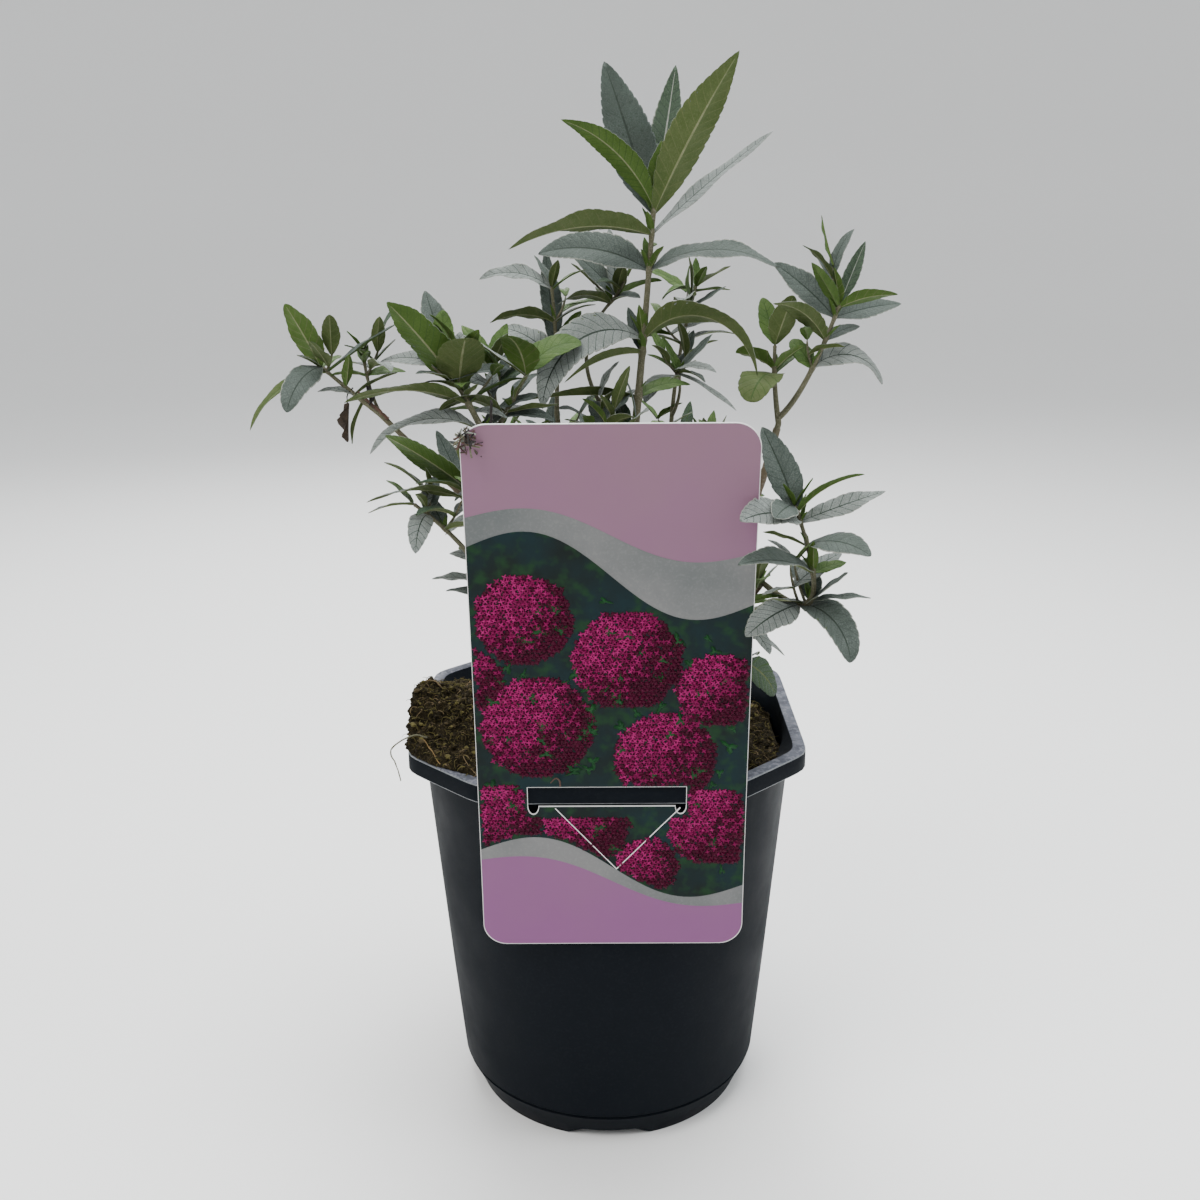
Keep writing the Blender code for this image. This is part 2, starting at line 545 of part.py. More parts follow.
def build_compost(collection):
    """The root ball, clear of the pot inside, and a crumbly top that heaps over the left rim."""
    edge = COMPOST_EDGE
    over = POT_HEIGHT + GAP + 0.0001
    sides = [
        pot_ring(FLOOR_TOP + GAP, FOOT_RADIUS + 0.0003),
        pot_ring(GROOVE_HEIGHT, GROOVE_RADIUS - WALL - 0.0008),
        pot_ring(POT_HEIGHT - RIM_FACE - COLLAR_DEPTH - 0.0035, BODY_TOP_RADIUS - WALL - 0.0009),
        pot_ring(POT_HEIGHT - RIM_FACE - 0.0035, edge),
    ]
    shoulder, lip, brow, skirt = [], [], [], []
    for heading in ring_headings():
        full = heap(heading)
        filled = min(full / 0.5, 1)
        spilt = max(0, (full - 0.72) / 0.28)
        reach = edge + spilt * (0.985 * square_radius(heading, RIM_HALF) - edge)
        low = COMPOST_LEVEL - 0.0015
        heights = (low + filled * (over - low), low + 0.0008 + filled * (over - low - 0.0007))
        for ring, radius, height in (
                (shoulder, edge, heights[0]),
                (lip, reach - 0.0015 * (1 - filled), heights[1]),
                (brow, reach - 0.003, heights[1] + 0.001 + 0.0022 * full),
                (skirt, reach * 0.9 - 0.002, COMPOST_LEVEL + 0.8 * HEAP_HEIGHT * full)):
            ring.append((radius * math.cos(heading), radius * math.sin(heading), height))
    top = []
    for share in (0.8, 0.6, 0.38, 0.175):
        ring = []
        for x, y, _ in skirt:
            place = Vector((x, y)).lerp(FOOT.xy, 1 - share)
            full = heap(math.atan2(y, x)) * share
            level = COMPOST_LEVEL + HEAP_HEIGHT * full + lumps(*place) * min(1, share * 1.6)
            ring.append((*place, level if share > 0.2 else FOOT.z - 1.3 * GAP))
        top.append(ring)
    rings = sides + [shoulder, lip, brow, skirt] + top
    return new_object("compost", loft_mesh(rings), collection, "compost")


def corner_arc(x, y, radius, start, count=5):
    """A quarter turn round a corner's centre."""
    return [(x + radius * math.cos(start + math.pi / 2 * i / count),
             y + radius * math.sin(start + math.pi / 2 * i / count)) for i in range(count + 1)]


def card_outline():
    half, corner = LABEL_WIDTH / 2, LABEL_CORNER
    centres = ((half - corner, LABEL_ABOVE - corner, 0), (corner - half, LABEL_ABOVE - corner, 1),
               (corner - half, corner - LABEL_BELOW, 2), (half - corner, corner - LABEL_BELOW, 3))
    outline = []
    for x, y, turn in centres:
        outline += corner_arc(x, y, corner, turn * math.pi / 2)
    return outline


def slot_outline():
    """The slot, with a round notch turned down at each end of it."""
    half, top = SLOT_WIDTH / 2, SLOT_HEIGHT / 2
    width, depth = SLOT_HOOK
    outline = [(half, top), (-half, top)]
    for left in (-half, half - width):
        middle = left + width / 2
        outline += [(left, -top)]
        outline += [(middle - width / 2 * math.cos(math.pi * i / 4),
                     -top - depth * math.sin(math.pi * i / 4)) for i in range(1, 4)]
        outline += [(left + width, -top)]
    return [(x - SLOT_SHIFT, y) for x, y in outline]


def flat_mesh(outlines, thick):
    """A flat outline with holes, given its thickness."""
    line = bpy.data.curves.new("card", "CURVE")
    line.dimensions = "2D"
    line.fill_mode = "BOTH"
    line.extrude = thick / 2
    for outline in outlines:
        spline = line.splines.new("POLY")
        spline.points.add(len(outline) - 1)
        for point, (x, y) in zip(spline.points, outline):
            point.co = (x, y, 0, 1)
        spline.use_cyclic_u = True
    card = bpy.data.objects.new("card", line)
    bpy.context.scene.collection.objects.link(card)
    mesh = evaluated(card)
    bpy.data.objects.remove(card)
    return mesh


def build_label(collection, cutters):
    """The card, leaning and curling toward the front, and the tab folded back over the rim."""
    mesh = flat_mesh([card_outline(), slot_outline()], LABEL_THICK)
    shape = bmesh.new()
    shape.from_mesh(mesh)
    bmesh.ops.remove_doubles(shape, verts=shape.verts, dist=0.00001)
    strips = 6
    for i in range(1, strips):
        height = SLOT_HEIGHT + (LABEL_ABOVE - SLOT_HEIGHT) * i / strips
        bmesh.ops.bisect_plane(shape, geom=shape.verts[:] + shape.edges[:] + shape.faces[:],
                               plane_co=(0, height, 0), plane_no=(0, 1, 0), dist=0.00001)
    slot_height = POT_HEIGHT - RIM_FACE / 2
    for vert in shape.verts:
        x, up, out = vert.co
        lean = LABEL_LEAN + LABEL_CURL * up
        vert.co = (x + SLOT_SHIFT, LABEL_FRONT - (LABEL_LEAN + LABEL_CURL * up / 2) * up - out,
                   slot_height + up * math.cos(LABEL_LEAN + LABEL_CURL * up / 2) - out * math.sin(lean))
    bmesh.ops.recalc_face_normals(shape, faces=shape.faces)
    shape.to_mesh(mesh)
    shape.free()
    label = new_object("label", mesh, collection, "label")

    low = POT_HEIGHT + GAP
    high = low + LABEL_THICK
    front = LABEL_FRONT - LABEL_LEAN * SLOT_HEIGHT / 2
    inner = -(RIM_HALF - RIM_INSET) + 2 * GAP
    back = inner + LABEL_THICK
    tab = [(front, low), (back, low), (back, high), (front, high)]
    lip = [(inner, low - TAB_LIP), (back, low - TAB_LIP), (back, high), (inner, high)]
    for name, section, width in (("tab", tab, TAB_WIDTH), ("lip", lip, TAB_LIP_WIDTH)):
        ends = [[(x, y, z) for y, z in section] for x in (-width / 2, width / 2)]
        boolean(label, cutter(f"{name}_joiner", loft_mesh(ends), cutters), "UNION")
    return label


def trunk_line():
    """The stem, upright at its foot and leaning as it rises."""
    points = []
    for share in TRUNK_SHARES:
        aside = FOOT.lerp(TRUNK_TOP, share ** 2)
        points.append(Vector((aside.x, aside.y, FOOT.lerp(TRUNK_TOP, share).z)))
    return points


def trunk_radii():
    """The stem's taper, with the flare over its lowest stretch."""
    radii = []
    for share in TRUNK_SHARES:
        taper = TRUNK_RADIUS[0] + (TRUNK_RADIUS[1] - TRUNK_RADIUS[0]) * share
        radii.append(taper + FLARE * max(0, 1 - share / FLARE_SHARE) ** 2)
    return radii


def clearance_mesh(line, radii, sides):
    """A limb swollen all round and past its tip, to cut what leaves it clear of it."""
    past = line[-1] + (line[-1] - line[-2]).normalized() * 2 * GAP
    return tube_mesh(line + [past], [radius + 2 * GAP for radius in radii + radii[-1:]], sides)


def limb_radii(count, low, high):
    return [low + (high - low) * i / count for i in range(count + 1)]


def build_wood(collection, cutters):
    """The stem and its boughs. Each bough is cut where it would enter what carries it."""
    lines = {"trunk": trunk_line()}
    swollen = {"trunk": clearance_mesh(lines["trunk"], trunk_radii(), TRUNK_SIDES)}
    new_object("trunk", tube_mesh(lines["trunk"], trunk_radii(), TRUNK_SIDES), collection, "bark")
    limbs = [(lines["trunk"], trunk_radii())]
    for name, (parent, share, bend, end, thick, thin) in BOUGHS.items():
        line = curve_points(at_share(lines[parent], share), bend, end, BOUGH_STEPS)
        radii = limb_radii(BOUGH_STEPS, thick, thin)
        bough = new_object(name, tube_mesh(line, radii, BOUGH_SIDES), collection, "bark")
        clear = cutter(f"{name}_clearance", swollen[parent], cutters)
        boolean(bough, clear, "DIFFERENCE")
        lines[name] = line
        swollen[name] = clearance_mesh(line, radii, BOUGH_SIDES)
        limbs.append((line, radii))
    return lines, limbs


def leaf_line(root, leaf, steps):
    """Points and headings down a leaf that bends evenly toward the ground."""
    heading, rise, length, arch = leaf[:4]
    turn = math.radians(heading)
    points, ways = [Vector(root)], []
    for i in range(steps):
        slope = math.radians(rise - arch * (i + 0.5) / steps)
        way = Vector((math.cos(slope) * math.cos(turn), math.cos(slope) * math.sin(turn), math.sin(slope)))
        ways.append(way)
        points.append(points[-1] + way * length / steps)
    ways.append(ways[-1])
    return points, ways


def half_width(share, leaf):
    """Half the blade's width along it: a lance, widest below its middle."""
    full = leaf[2] * leaf[4] / 2
    if share < WIDEST:
        return PETIOLE + (full - PETIOLE) * math.sin(math.pi / 2 * share / WIDEST)
    return full * math.cos(math.pi / 2 * (share - WIDEST) / (1 - WIDEST)) ** 0.9


def leaf_mesh_data(root, leaf, start=0.0, swell=0.0):
    """Points and faces of one leaf: three-sided sections, thickest at the midrib."""
    fine = 12
    points, ways = leaf_line(root, leaf, fine)
    shares = [start, *SECTIONS[(leaf[2] > LONG_LEAF) + (leaf[2] > LONG_LEAF and leaf[3] > MUCH_ARCH)]]
    thick = max(LEAF_LEAST, LEAF_THICK * leaf[2]) / 2
    verts, faces = [], []
    for share in shares:
        place = at_share(points, share)
        way = ways[min(int(share * fine), fine)]
        level = Vector((-math.sin(math.radians(leaf[0])), math.cos(math.radians(leaf[0])), 0))
        side = Matrix.Rotation(math.radians(leaf[5]), 3, way) @ level
        up = way.cross(side)
        wide = half_width(share, leaf) + swell
        half = (PETIOLE if share == 0 else thick) + swell
        verts += [place + side * wide + up * half, place - side * wide + up * half, place - up * half]
    verts.append(points[-1] + ways[-1] * swell)
    last = len(verts) - 4
    faces.append((0, 1, 2))
    for low in range(0, last, 3):
        for i in range(3):
            j = (i + 1) % 3
            faces.append((low + i, low + 3 + i, low + 3 + j, low + j))
    faces += [(last + i, last + 3, last + (i + 1) % 3) for i in range(3)]
    return verts, faces


def mesh_from(verts, faces):
    mesh = bpy.data.meshes.new("leaf")
    mesh.from_pydata(verts, [], faces)
    shape = bmesh.new()
    shape.from_mesh(mesh)
    bmesh.ops.recalc_face_normals(shape, faces=shape.faces)
    shape.to_mesh(mesh)
    shape.free()
    return mesh


def tree_of(mesh):
    return BVHTree.FromPolygons([v.co[:] for v in mesh.vertices], [p.vertices[:] for p in mesh.polygons])


def crosses_limb(tree, limbs):
    for line, radii in limbs:
        for i in range(len(line) - 1):
            for step in range(6):
                place = line[i].lerp(line[i + 1], step / 6)
                if tree.find_nearest(place, radii[i] + SWELL)[0]:
                    return True
    return False


def clear_leaf(root, leaf, fixed, limbs, others, own):
    """The leaf, turned a little if it must be, or None where there is no room for it."""
    for turn, lift in NUDGES:
        tried = (leaf[0] + turn, leaf[1] + lift, *leaf[2:])
        blade = BVHTree.FromPolygons(*leaf_mesh_data(root, tried, 0.0, SWELL))
        outer = BVHTree.FromPolygons(*leaf_mesh_data(root, tried, 0.22, SWELL / 3))
        if any(blade.overlap(tree) for tree in fixed + others):
            continue
        if any(outer.overlap(tree) for tree in own) or crosses_limb(blade, limbs):
            continue
        return tried, outer
    return None


def twig_lines(lines):
    """Each shoot's twigs as points and radii, with their leaf rows: the first starts just
    clear of the bough's tip, and the others on the first."""
    twigs_of = {}
    for name, (bough, twigs) in SHOOTS.items():
        line = lines[bough]
        way = (line[-1] - line[-2]).normalized()
        stem = None
        twigs_of[name] = []
        for share, bend, end, thick, thin, rows in twigs:
            if stem is None:
                start = line[-1] + way * TIP_GAP
                path = [start] + curve_points(start + way * thick, bend, end, TWIG_STEPS - 1)
                stem = path
            else:
                path = curve_points(at_share(stem, share), bend, end, TWIG_STEPS)
            twigs_of[name].append((path, limb_radii(TWIG_STEPS, thick, thin), rows))
    return twigs_of


def build_masses(collection, lines, limbs, fixed):
    """Every shoot: its twigs, then its leaves where they have room, joined into one solid."""
    others = []
    twigs_of = twig_lines(lines)
    for name, twigs in twigs_of.items():
        rng = random.Random(name)
        foreign = limbs + [twig[:2] for other, near in twigs_of.items() if other != name for twig in near]
        pieces, outers, blades = [], [], []
        for path, radii, rows in twigs:
            pieces.append(tube_mesh(path, radii, 3))
            for share, *leaves in rows:
                for leaf in leaves:
                    loose = rng.uniform(-ROLL, ROLL)
                    turned = (leaf[0] + loose / 9, leaf[1] - loose / 14, *leaf[2:5], *(leaf[5:] or (loose,)))
                    root = at_share(path, share)
                    found = clear_leaf(root, turned, fixed, foreign, others, outers)
                    if found:
                        outers.append(found[1])
                        verts, faces = leaf_mesh_data(root, found[0])
                        pieces.append(mesh_from(verts, faces))
                        blades.append(BVHTree.FromPolygons(verts, faces))
        others += blades
        join_mass(name, pieces, collection)


def keep_outer_skin(mesh):
    """Fill the small hollows that fusing seals, by leaving only the largest skin."""
    shape = bmesh.new()
    shape.from_mesh(mesh)
    left = set(shape.faces)
    skins = []
    while left:
        front, skin = [left.pop()], []
        while front:
            face = front.pop()
            skin.append(face)
            near = {other for edge in face.edges for other in edge.link_faces} & left
            left -= near
            front += near
        skins.append(skin)
    skins.sort(key=len)
    for skin in skins[:-1]:
        bmesh.ops.delete(shape, geom=skin, context="FACES")
    shape.to_mesh(mesh)
    shape.free()


def join_mass(name, pieces, collection):
    """Fuse a shoot's twigs and leaves into one solid."""
    joined = collection_named(f"{name}_pieces")
    for i, mesh in enumerate(pieces[1:]):
        new_object(f"{name}_piece_{i}", mesh, joined)
    mass = new_object(name, pieces[0], collection)
    boolean(mass, joined, "UNION")
    for piece in list(joined.objects):
        bpy.data.objects.remove(piece)
    bpy.data.collections.remove(joined)
    keep_outer_skin(mass.data)
    mass.data.materials.clear()
    mass.data.materials.append(material("leaf"))


def main():
    for old in list(bpy.data.objects):
        bpy.data.objects.remove(old)
    plant = collection_named("butterfly_bush")
    cutters = collection_named("cutters")
    pot = build_pot(plant, cutters)
    compost = build_compost(plant)
    label = build_label(plant, cutters)
    lines, limbs = build_wood(plant, cutters)
    fixed = [tree_of(made.data) for made in (pot, compost, label)]
    build_masses(plant, lines, limbs, fixed)


main()
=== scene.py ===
import math
import random

import bmesh
import bpy
import numpy as np
from mathutils import Matrix, Vector, noise
from mathutils.bvhtree import BVHTree


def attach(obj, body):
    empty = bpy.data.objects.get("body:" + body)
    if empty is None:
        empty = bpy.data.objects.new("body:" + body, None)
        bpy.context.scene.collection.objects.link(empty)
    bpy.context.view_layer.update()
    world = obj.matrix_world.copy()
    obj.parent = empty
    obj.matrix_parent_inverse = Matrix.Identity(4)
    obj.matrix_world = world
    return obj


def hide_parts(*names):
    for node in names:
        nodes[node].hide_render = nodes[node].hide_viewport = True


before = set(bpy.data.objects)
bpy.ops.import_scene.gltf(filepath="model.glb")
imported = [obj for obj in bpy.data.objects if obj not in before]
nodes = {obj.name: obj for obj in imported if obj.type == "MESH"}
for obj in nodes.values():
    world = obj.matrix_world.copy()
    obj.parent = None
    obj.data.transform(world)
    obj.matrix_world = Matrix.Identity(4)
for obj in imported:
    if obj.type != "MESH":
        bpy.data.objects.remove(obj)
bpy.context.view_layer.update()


# Meshes are gathered in piles: points, faces and the finish of each face
def newPile():
    return {"points": [], "faces": [], "finish": []}


def addTo(pile, points, faces, finish):
    base = len(pile["points"])
    pile["points"] += [tuple(point) for point in points]
    pile["faces"] += [tuple(base + i for i in face) for face in faces]
    pile["finish"] += finish if isinstance(finish, list) else [finish] * len(faces)


def pieceFrom(name, pile, finishes, replaced=(), smooth=True):
    mesh = bpy.data.meshes.new(name)
    mesh.from_pydata(pile["points"], [], pile["faces"])
    mesh.polygons.foreach_set("material_index", pile["finish"])
    mesh.polygons.foreach_set("use_smooth", [smooth] * len(mesh.polygons))
    mesh.update()
    return pieceOf(name, mesh, finishes, replaced)


def pieceOf(name, mesh, finishes, replaced=()):
    piece = bpy.data.objects.new(name, mesh)
    bpy.context.scene.collection.objects.link(piece)
    for finish in finishes:
        mesh.materials.append(finish)
    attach(piece, "root")
    if replaced:
        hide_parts(*replaced)
    return piece


def evaluated(source):  # the object's mesh as its modifiers make it
    bpy.context.view_layer.update()
    graph = bpy.context.evaluated_depsgraph_get()
    return bpy.data.meshes.new_from_object(source.evaluated_get(graph))


def withModifiers(mesh, settings):  # settings: a list of (type, values)
    helper = bpy.data.objects.new("helper", mesh)
    bpy.context.scene.collection.objects.link(helper)
    for kind, values in settings:
        modifier = helper.modifiers.new(kind.title(), kind)
        for key, value in values.items():
            setattr(modifier, key, value)
    made = evaluated(helper)
    bpy.data.objects.remove(helper)
    return made


def treeOf(mesh):
    return BVHTree.FromPolygons([v.co[:] for v in mesh.vertices], [p.vertices[:] for p in mesh.polygons])


# Camera, light and floor
cameraView = {"place": (0.0009, -0.57544, 0.40497), "pitch": 0.2881, "yaw": -0.0063, "roll": -0.0074,
              "lens": 40.18, "sensor": 36}
lamps = {  # place, width, power, colour
    "keyLight": ((-0.7, -0.85, 1.35), 0.9, 17, (1.0, 0.98, 0.95)),
    "topLight": ((0.1, 0.2, 1.6), 1.2, 34, (0.97, 0.99, 1.0)),
    "sideLight": ((1.15, -0.25, 0.8), 0.8, 7, (0.95, 0.98, 1.0)),
    "backLight": ((-0.3, 1.2, 1.0), 0.9, 10, (1.0, 1.0, 1.0)),
}
floorLook = {  # a wide floor that sweeps up all round, so that no edge of it shows
    "rings": ((1.2, 0), (2.6, 0), (3.2, 0.06), (3.7, 0.25), (4.1, 0.6), (4.35, 1.2), (4.45, 2.2), (4.5, 3.4)),
    "sides": 96, "colour": (0.9, 0.9, 0.89), "sky": (0.95, 0.97, 1.0), "skyPower": 0.8,
}


def placeCamera():
    data = bpy.data.cameras.new("photoCamera")
    data.sensor_width = cameraView["sensor"]
    data.lens = cameraView["lens"]
    data.clip_start = 0.01
    camera = bpy.data.objects.new("photoCamera", data)
    bpy.context.scene.collection.objects.link(camera)
    pitch, yaw, roll = (cameraView[key] for key in ("pitch", "yaw", "roll"))
    ahead = Vector((math.sin(yaw) * math.cos(pitch), math.cos(yaw) * math.cos(pitch), -math.sin(pitch)))
    right = ahead.cross(Vector((0, 0, 1))).normalized()
    above = right.cross(ahead)
    axes = Matrix((right * math.cos(roll) + above * math.sin(roll),
                   above * math.cos(roll) - right * math.sin(roll), -ahead)).transposed()
    camera.matrix_world = Matrix.Translation(cameraView["place"]) @ axes.to_4x4()
    bpy.context.scene.camera = camera


def placeLamps():
    for name, (place, width, power, colour) in lamps.items():
        data = bpy.data.lights.new(name, "AREA")
        data.shape = "DISK"
        data.size = width
        data.energy = power
        data.color = colour
        lamp = bpy.data.objects.new(name, data)
        bpy.context.scene.collection.objects.link(lamp)
        lamp.location = place
        lamp.rotation_euler = (Vector((0, 0, 0.25)) - Vector(place)).to_track_quat("-Z", "Y").to_euler()
    world = bpy.data.worlds.new("studio")
    bpy.context.scene.world = world
    world.use_nodes = True
    sky = world.node_tree.nodes["Background"]
    sky.inputs["Color"].default_value = (*floorLook["sky"], 1)
    sky.inputs["Strength"].default_value = floorLook["skyPower"]


def placeFloor():
    sides = floorLook["sides"]
    points, faces = [], []
    for radius, height in floorLook["rings"]:
        points += [(radius * math.cos(math.tau * i / sides), radius * math.sin(math.tau * i / sides), height)
                   for i in range(sides)]
    faces.append(tuple(range(sides)))
    for ring in range(len(floorLook["rings"]) - 1):
        faces += [(ring * sides + i, (ring + 1) * sides + i, (ring + 1) * sides + (i + 1) % sides,
                   ring * sides + (i + 1) % sides) for i in range(sides)]
    mesh = bpy.data.meshes.new("studioFloor")
    mesh.from_pydata(points, [], faces)
    mesh.polygons.foreach_set("use_smooth", [True] * len(faces))
    floor = bpy.data.objects.new("studioFloor", mesh)
    bpy.context.scene.collection.objects.link(floor)
    finish = bpy.data.materials.new("floorPaint")
    finish.use_nodes = True
    finish.node_tree.nodes["Principled BSDF"].inputs["Base Color"].default_value = (*floorLook["colour"], 1)
    finish.node_tree.nodes["Principled BSDF"].inputs["Roughness"].default_value = 0.75
    mesh.materials.append(finish)


placeCamera()
placeLamps()
placeFloor()
print("camera, light and floor")


# Effects that several finishes share, as node groups
def effectGroup(name, inputs, outputs):
    group = bpy.data.node_groups.new(name, "ShaderNodeTree")
    for socket, kind, value in inputs:
        made = group.interface.new_socket(name=socket, in_out="INPUT", socket_type=kind)
        made.default_value = value
    for socket, kind in outputs:
        group.interface.new_socket(name=socket, in_out="OUTPUT", socket_type=kind)
    start = group.nodes.new("NodeGroupInput")
    end = group.nodes.new("NodeGroupOutput")
    return group, start, end


def noiseNode(tree, coordinate, scale, detail=4.0, rough=0.6, kind="ShaderNodeTexNoise"):
    made = tree.nodes.new(kind)
    tree.links.new(coordinate, made.inputs["Vector"])
    if hasattr(scale, "is_output"):
        tree.links.new(scale, made.inputs["Scale"])
    else:
        made.inputs["Scale"].default_value = scale
    if kind == "ShaderNodeTexNoise":
        made.inputs["Detail"].default_value = detail
        made.inputs["Roughness"].default_value = rough
    return made


def stepNode(tree, value, low, high, lowTo=0.0, highTo=1.0):
    made = tree.nodes.new("ShaderNodeMapRange")
    made.inputs["From Min"].default_value = low
    made.inputs["From Max"].default_value = high
    made.inputs["To Min"].default_value = lowTo
    made.inputs["To Max"].default_value = highTo
    tree.links.new(value, made.inputs["Value"])
    return made.outputs["Result"]


def mathNode(tree, operation, a, b):
    made = tree.nodes.new("ShaderNodeMath")
    made.operation = operation
    for socket, value in zip(made.inputs, (a, b)):
        if hasattr(value, "is_output"):
            tree.links.new(value, socket)
        else:
            socket.default_value = value
    return made.outputs[0]


def mixNode(tree, share, a, b):
    made = tree.nodes.new("ShaderNodeMix")
    made.data_type = "RGBA"
    for socket, value in ((made.inputs["Factor"], share), (made.inputs["A"], a), (made.inputs["B"], b)):
        found = socket if socket.name == "Factor" else [s for s in made.inputs
                                                         if s.name == socket.name and s.type == "RGBA"][0]
        if hasattr(value, "is_output"):
            tree.links.new(value, found)
        else:
            found.default_value = value
    return [s for s in made.outputs if s.type == "RGBA"][0]


def makeMottle():  # two colours in soft patches, with specks, and a fine height
    group, start, end = effectGroup(
        "mottle",
        [("Colour", "NodeSocketColor", (0.5, 0.5, 0.5, 1)), ("Second Colour", "NodeSocketColor", (0.5, 0.5, 0.5, 1)),
         ("Speck Colour", "NodeSocketColor", (0.5, 0.5, 0.5, 1)), ("Patch Scale", "NodeSocketFloat", 60.0),
         ("Speck Scale", "NodeSocketFloat", 900.0), ("Speck Share", "NodeSocketFloat", 0.4),
         ("Rough Low", "NodeSocketFloat", 0.5), ("Rough High", "NodeSocketFloat", 0.8)],
        [("Colour", "NodeSocketColor"), ("Roughness", "NodeSocketFloat"), ("Height", "NodeSocketFloat")])
    place = group.nodes.new("ShaderNodeTexCoord").outputs["Object"]
    patch = noiseNode(group, place, start.outputs["Patch Scale"], 5.0).outputs["Fac"]
    speck = noiseNode(group, place, start.outputs["Speck Scale"], 2.0).outputs["Fac"]
    patchMask = stepNode(group, patch, 0.38, 0.62)
    speckMask = mathNode(group, "MULTIPLY", stepNode(group, speck, 0.5, 0.68), start.outputs["Speck Share"])
    colour = mixNode(group, patchMask, start.outputs["Colour"], start.outputs["Second Colour"])
    colour = mixNode(group, speckMask, colour, start.outputs["Speck Colour"])
    spread = mathNode(group, "SUBTRACT", start.outputs["Rough High"], start.outputs["Rough Low"])
    rough = mathNode(group, "ADD", mathNode(group, "MULTIPLY", patchMask, spread), start.outputs["Rough Low"])
    height = mathNode(group, "ADD", mathNode(group, "MULTIPLY", patch, 0.5), speck)
    for value, socket in ((colour, "Colour"), (rough, "Roughness"), (height, "Height")):
        group.links.new(value, end.inputs[socket])
    return group


mottle = makeMottle()


def finishOf(name, values):  # a Principled finish fed by the mottle group
    made = bpy.data.materials.new(name)
    made.use_nodes = True
    tree = made.node_tree
    shader = tree.nodes["Principled BSDF"]
    effect = tree.nodes.new("ShaderNodeGroup")
    effect.node_tree = mottle
    for socket in ("Colour", "Second Colour", "Speck Colour"):
        effect.inputs[socket].default_value = (*values[socket], 1)
    for socket in ("Patch Scale", "Speck Scale", "Speck Share", "Rough Low", "Rough High"):
        if socket in values:
            effect.inputs[socket].default_value = values[socket]
    tree.links.new(effect.outputs["Colour"], shader.inputs["Base Color"])
    tree.links.new(effect.outputs["Roughness"], shader.inputs["Roughness"])
    bump = tree.nodes.new("ShaderNodeBump")
    bump.inputs["Strength"].default_value = values.get("bump", 0.3)
    bump.inputs["Distance"].default_value = values.get("bumpDistance", 0.0002)
    tree.links.new(effect.outputs["Height"], bump.inputs["Height"])
    tree.links.new(bump.outputs["Normal"], shader.inputs["Normal"])
    for socket in ("Sheen Weight", "Sheen Roughness", "Specular IOR Level", "Coat Weight", "Coat Roughness"):
        if socket in values:
            shader.inputs[socket].default_value = values[socket]
    return made


# Pot
potShape = {
    "height": 0.1824, "rimHalf": 0.085, "rimChamfer": 0.0335, "rimFace": 0.008, "rimInset": 0.0055,
    "collarDepth": 0.0085, "collarStep": 0.0009, "bodyTop": 0.0834, "groove": 0.0700, "grooveHeight": 0.0152,
    "foot": 0.0632, "wall": 0.0018, "floorUnder": 0.005, "floorTop": 0.007, "pad": 0.014,
    "notches": 4, "notchWidth": (0.0448, 0.0235), "notchHeight": 0.0046,
    "drains": 8, "drainRadius": 0.006, "drainCircle": 0.046, "sides": 144, "cornerSharpness": 46,
}
potFinishes = {
    "potPlastic": {
        "Colour": (0.004, 0.0055, 0.008), "Second Colour": (0.0052, 0.0068, 0.0092), "Speck Colour": (0.011, 0.013, 0.015),
        "Patch Scale": 22.0, "Speck Scale": 700.0, "Speck Share": 0.25, "Rough Low": 0.5, "Rough High": 0.65,
        "bump": 0.12, "Specular IOR Level": 0.035},
    "rimPlastic": {
        "Colour": (0.088, 0.093, 0.118), "Second Colour": (0.048, 0.052, 0.068), "Speck Colour": (0.2, 0.205, 0.235),
        "Patch Scale": 95.0, "Speck Scale": 420.0, "Speck Share": 0.6, "Rough Low": 0.5, "Rough High": 0.75,
        "bump": 0.25, "Specular IOR Level": 0.25},
    # A painted highlight: a light colour on thin strips along the pot's edges, standing in for the light those edges
    # catch
    "paintedEdgeHighlight": {
        "Colour": (0.16, 0.17, 0.18), "Second Colour": (0.1, 0.11, 0.12), "Speck Colour": (0.26, 0.27, 0.28),
        "Patch Scale": 120.0, "Speck Scale": 800.0, "Speck Share": 0.5, "Rough Low": 0.4, "Rough High": 0.6},
}


def squareRadius(angle, half):
    along, across = abs(math.cos(angle)), abs(math.sin(angle))
    flat = half / max(along, across)
    cut = (2 * half - potShape["rimChamfer"] * half / potShape["rimHalf"]) / (along + across)
    power = potShape["cornerSharpness"]  # a high power keeps the corners crisp but round
    return (flat ** -power + cut ** -power) ** (-1 / power)


def potRing(height, size, square=0.0):
    ring = []
    for i in range(potShape["sides"]):
        heading = 2 * math.pi * i / potShape["sides"]
        radius = size + (squareRadius(heading, size) - size) * square
        ring.append((radius * math.cos(heading), radius * math.sin(heading), height))
    return ring


def loftInto(pile, rings, finishes, closed=True):
    count = len(rings[0])
    faces, finish = [], []
    for low in range(len(rings) - 1):
        for i in range(count):
            j = (i + 1) % count
            faces.append((low * count + i, low * count + j, (low + 1) * count + j, (low + 1) * count + i))
            finish.append(finishes[low])
    if closed:
        faces += [tuple(reversed(range(count))), tuple(range((len(rings) - 1) * count, len(rings) * count))]
        finish += [finishes[0], finishes[-1]]
    addTo(pile, [point for ring in rings for point in ring], faces, finish)


def cutWith(mesh, cutters):
    for other in cutters:
        helper = bpy.data.objects.new("cutter", other)
        bpy.context.scene.collection.objects.link(helper)
        mesh = withModifiers(mesh, [("BOOLEAN", {"operation": "DIFFERENCE", "object": helper, "solver": "EXACT"})])
        bpy.data.objects.remove(helper)
    return mesh


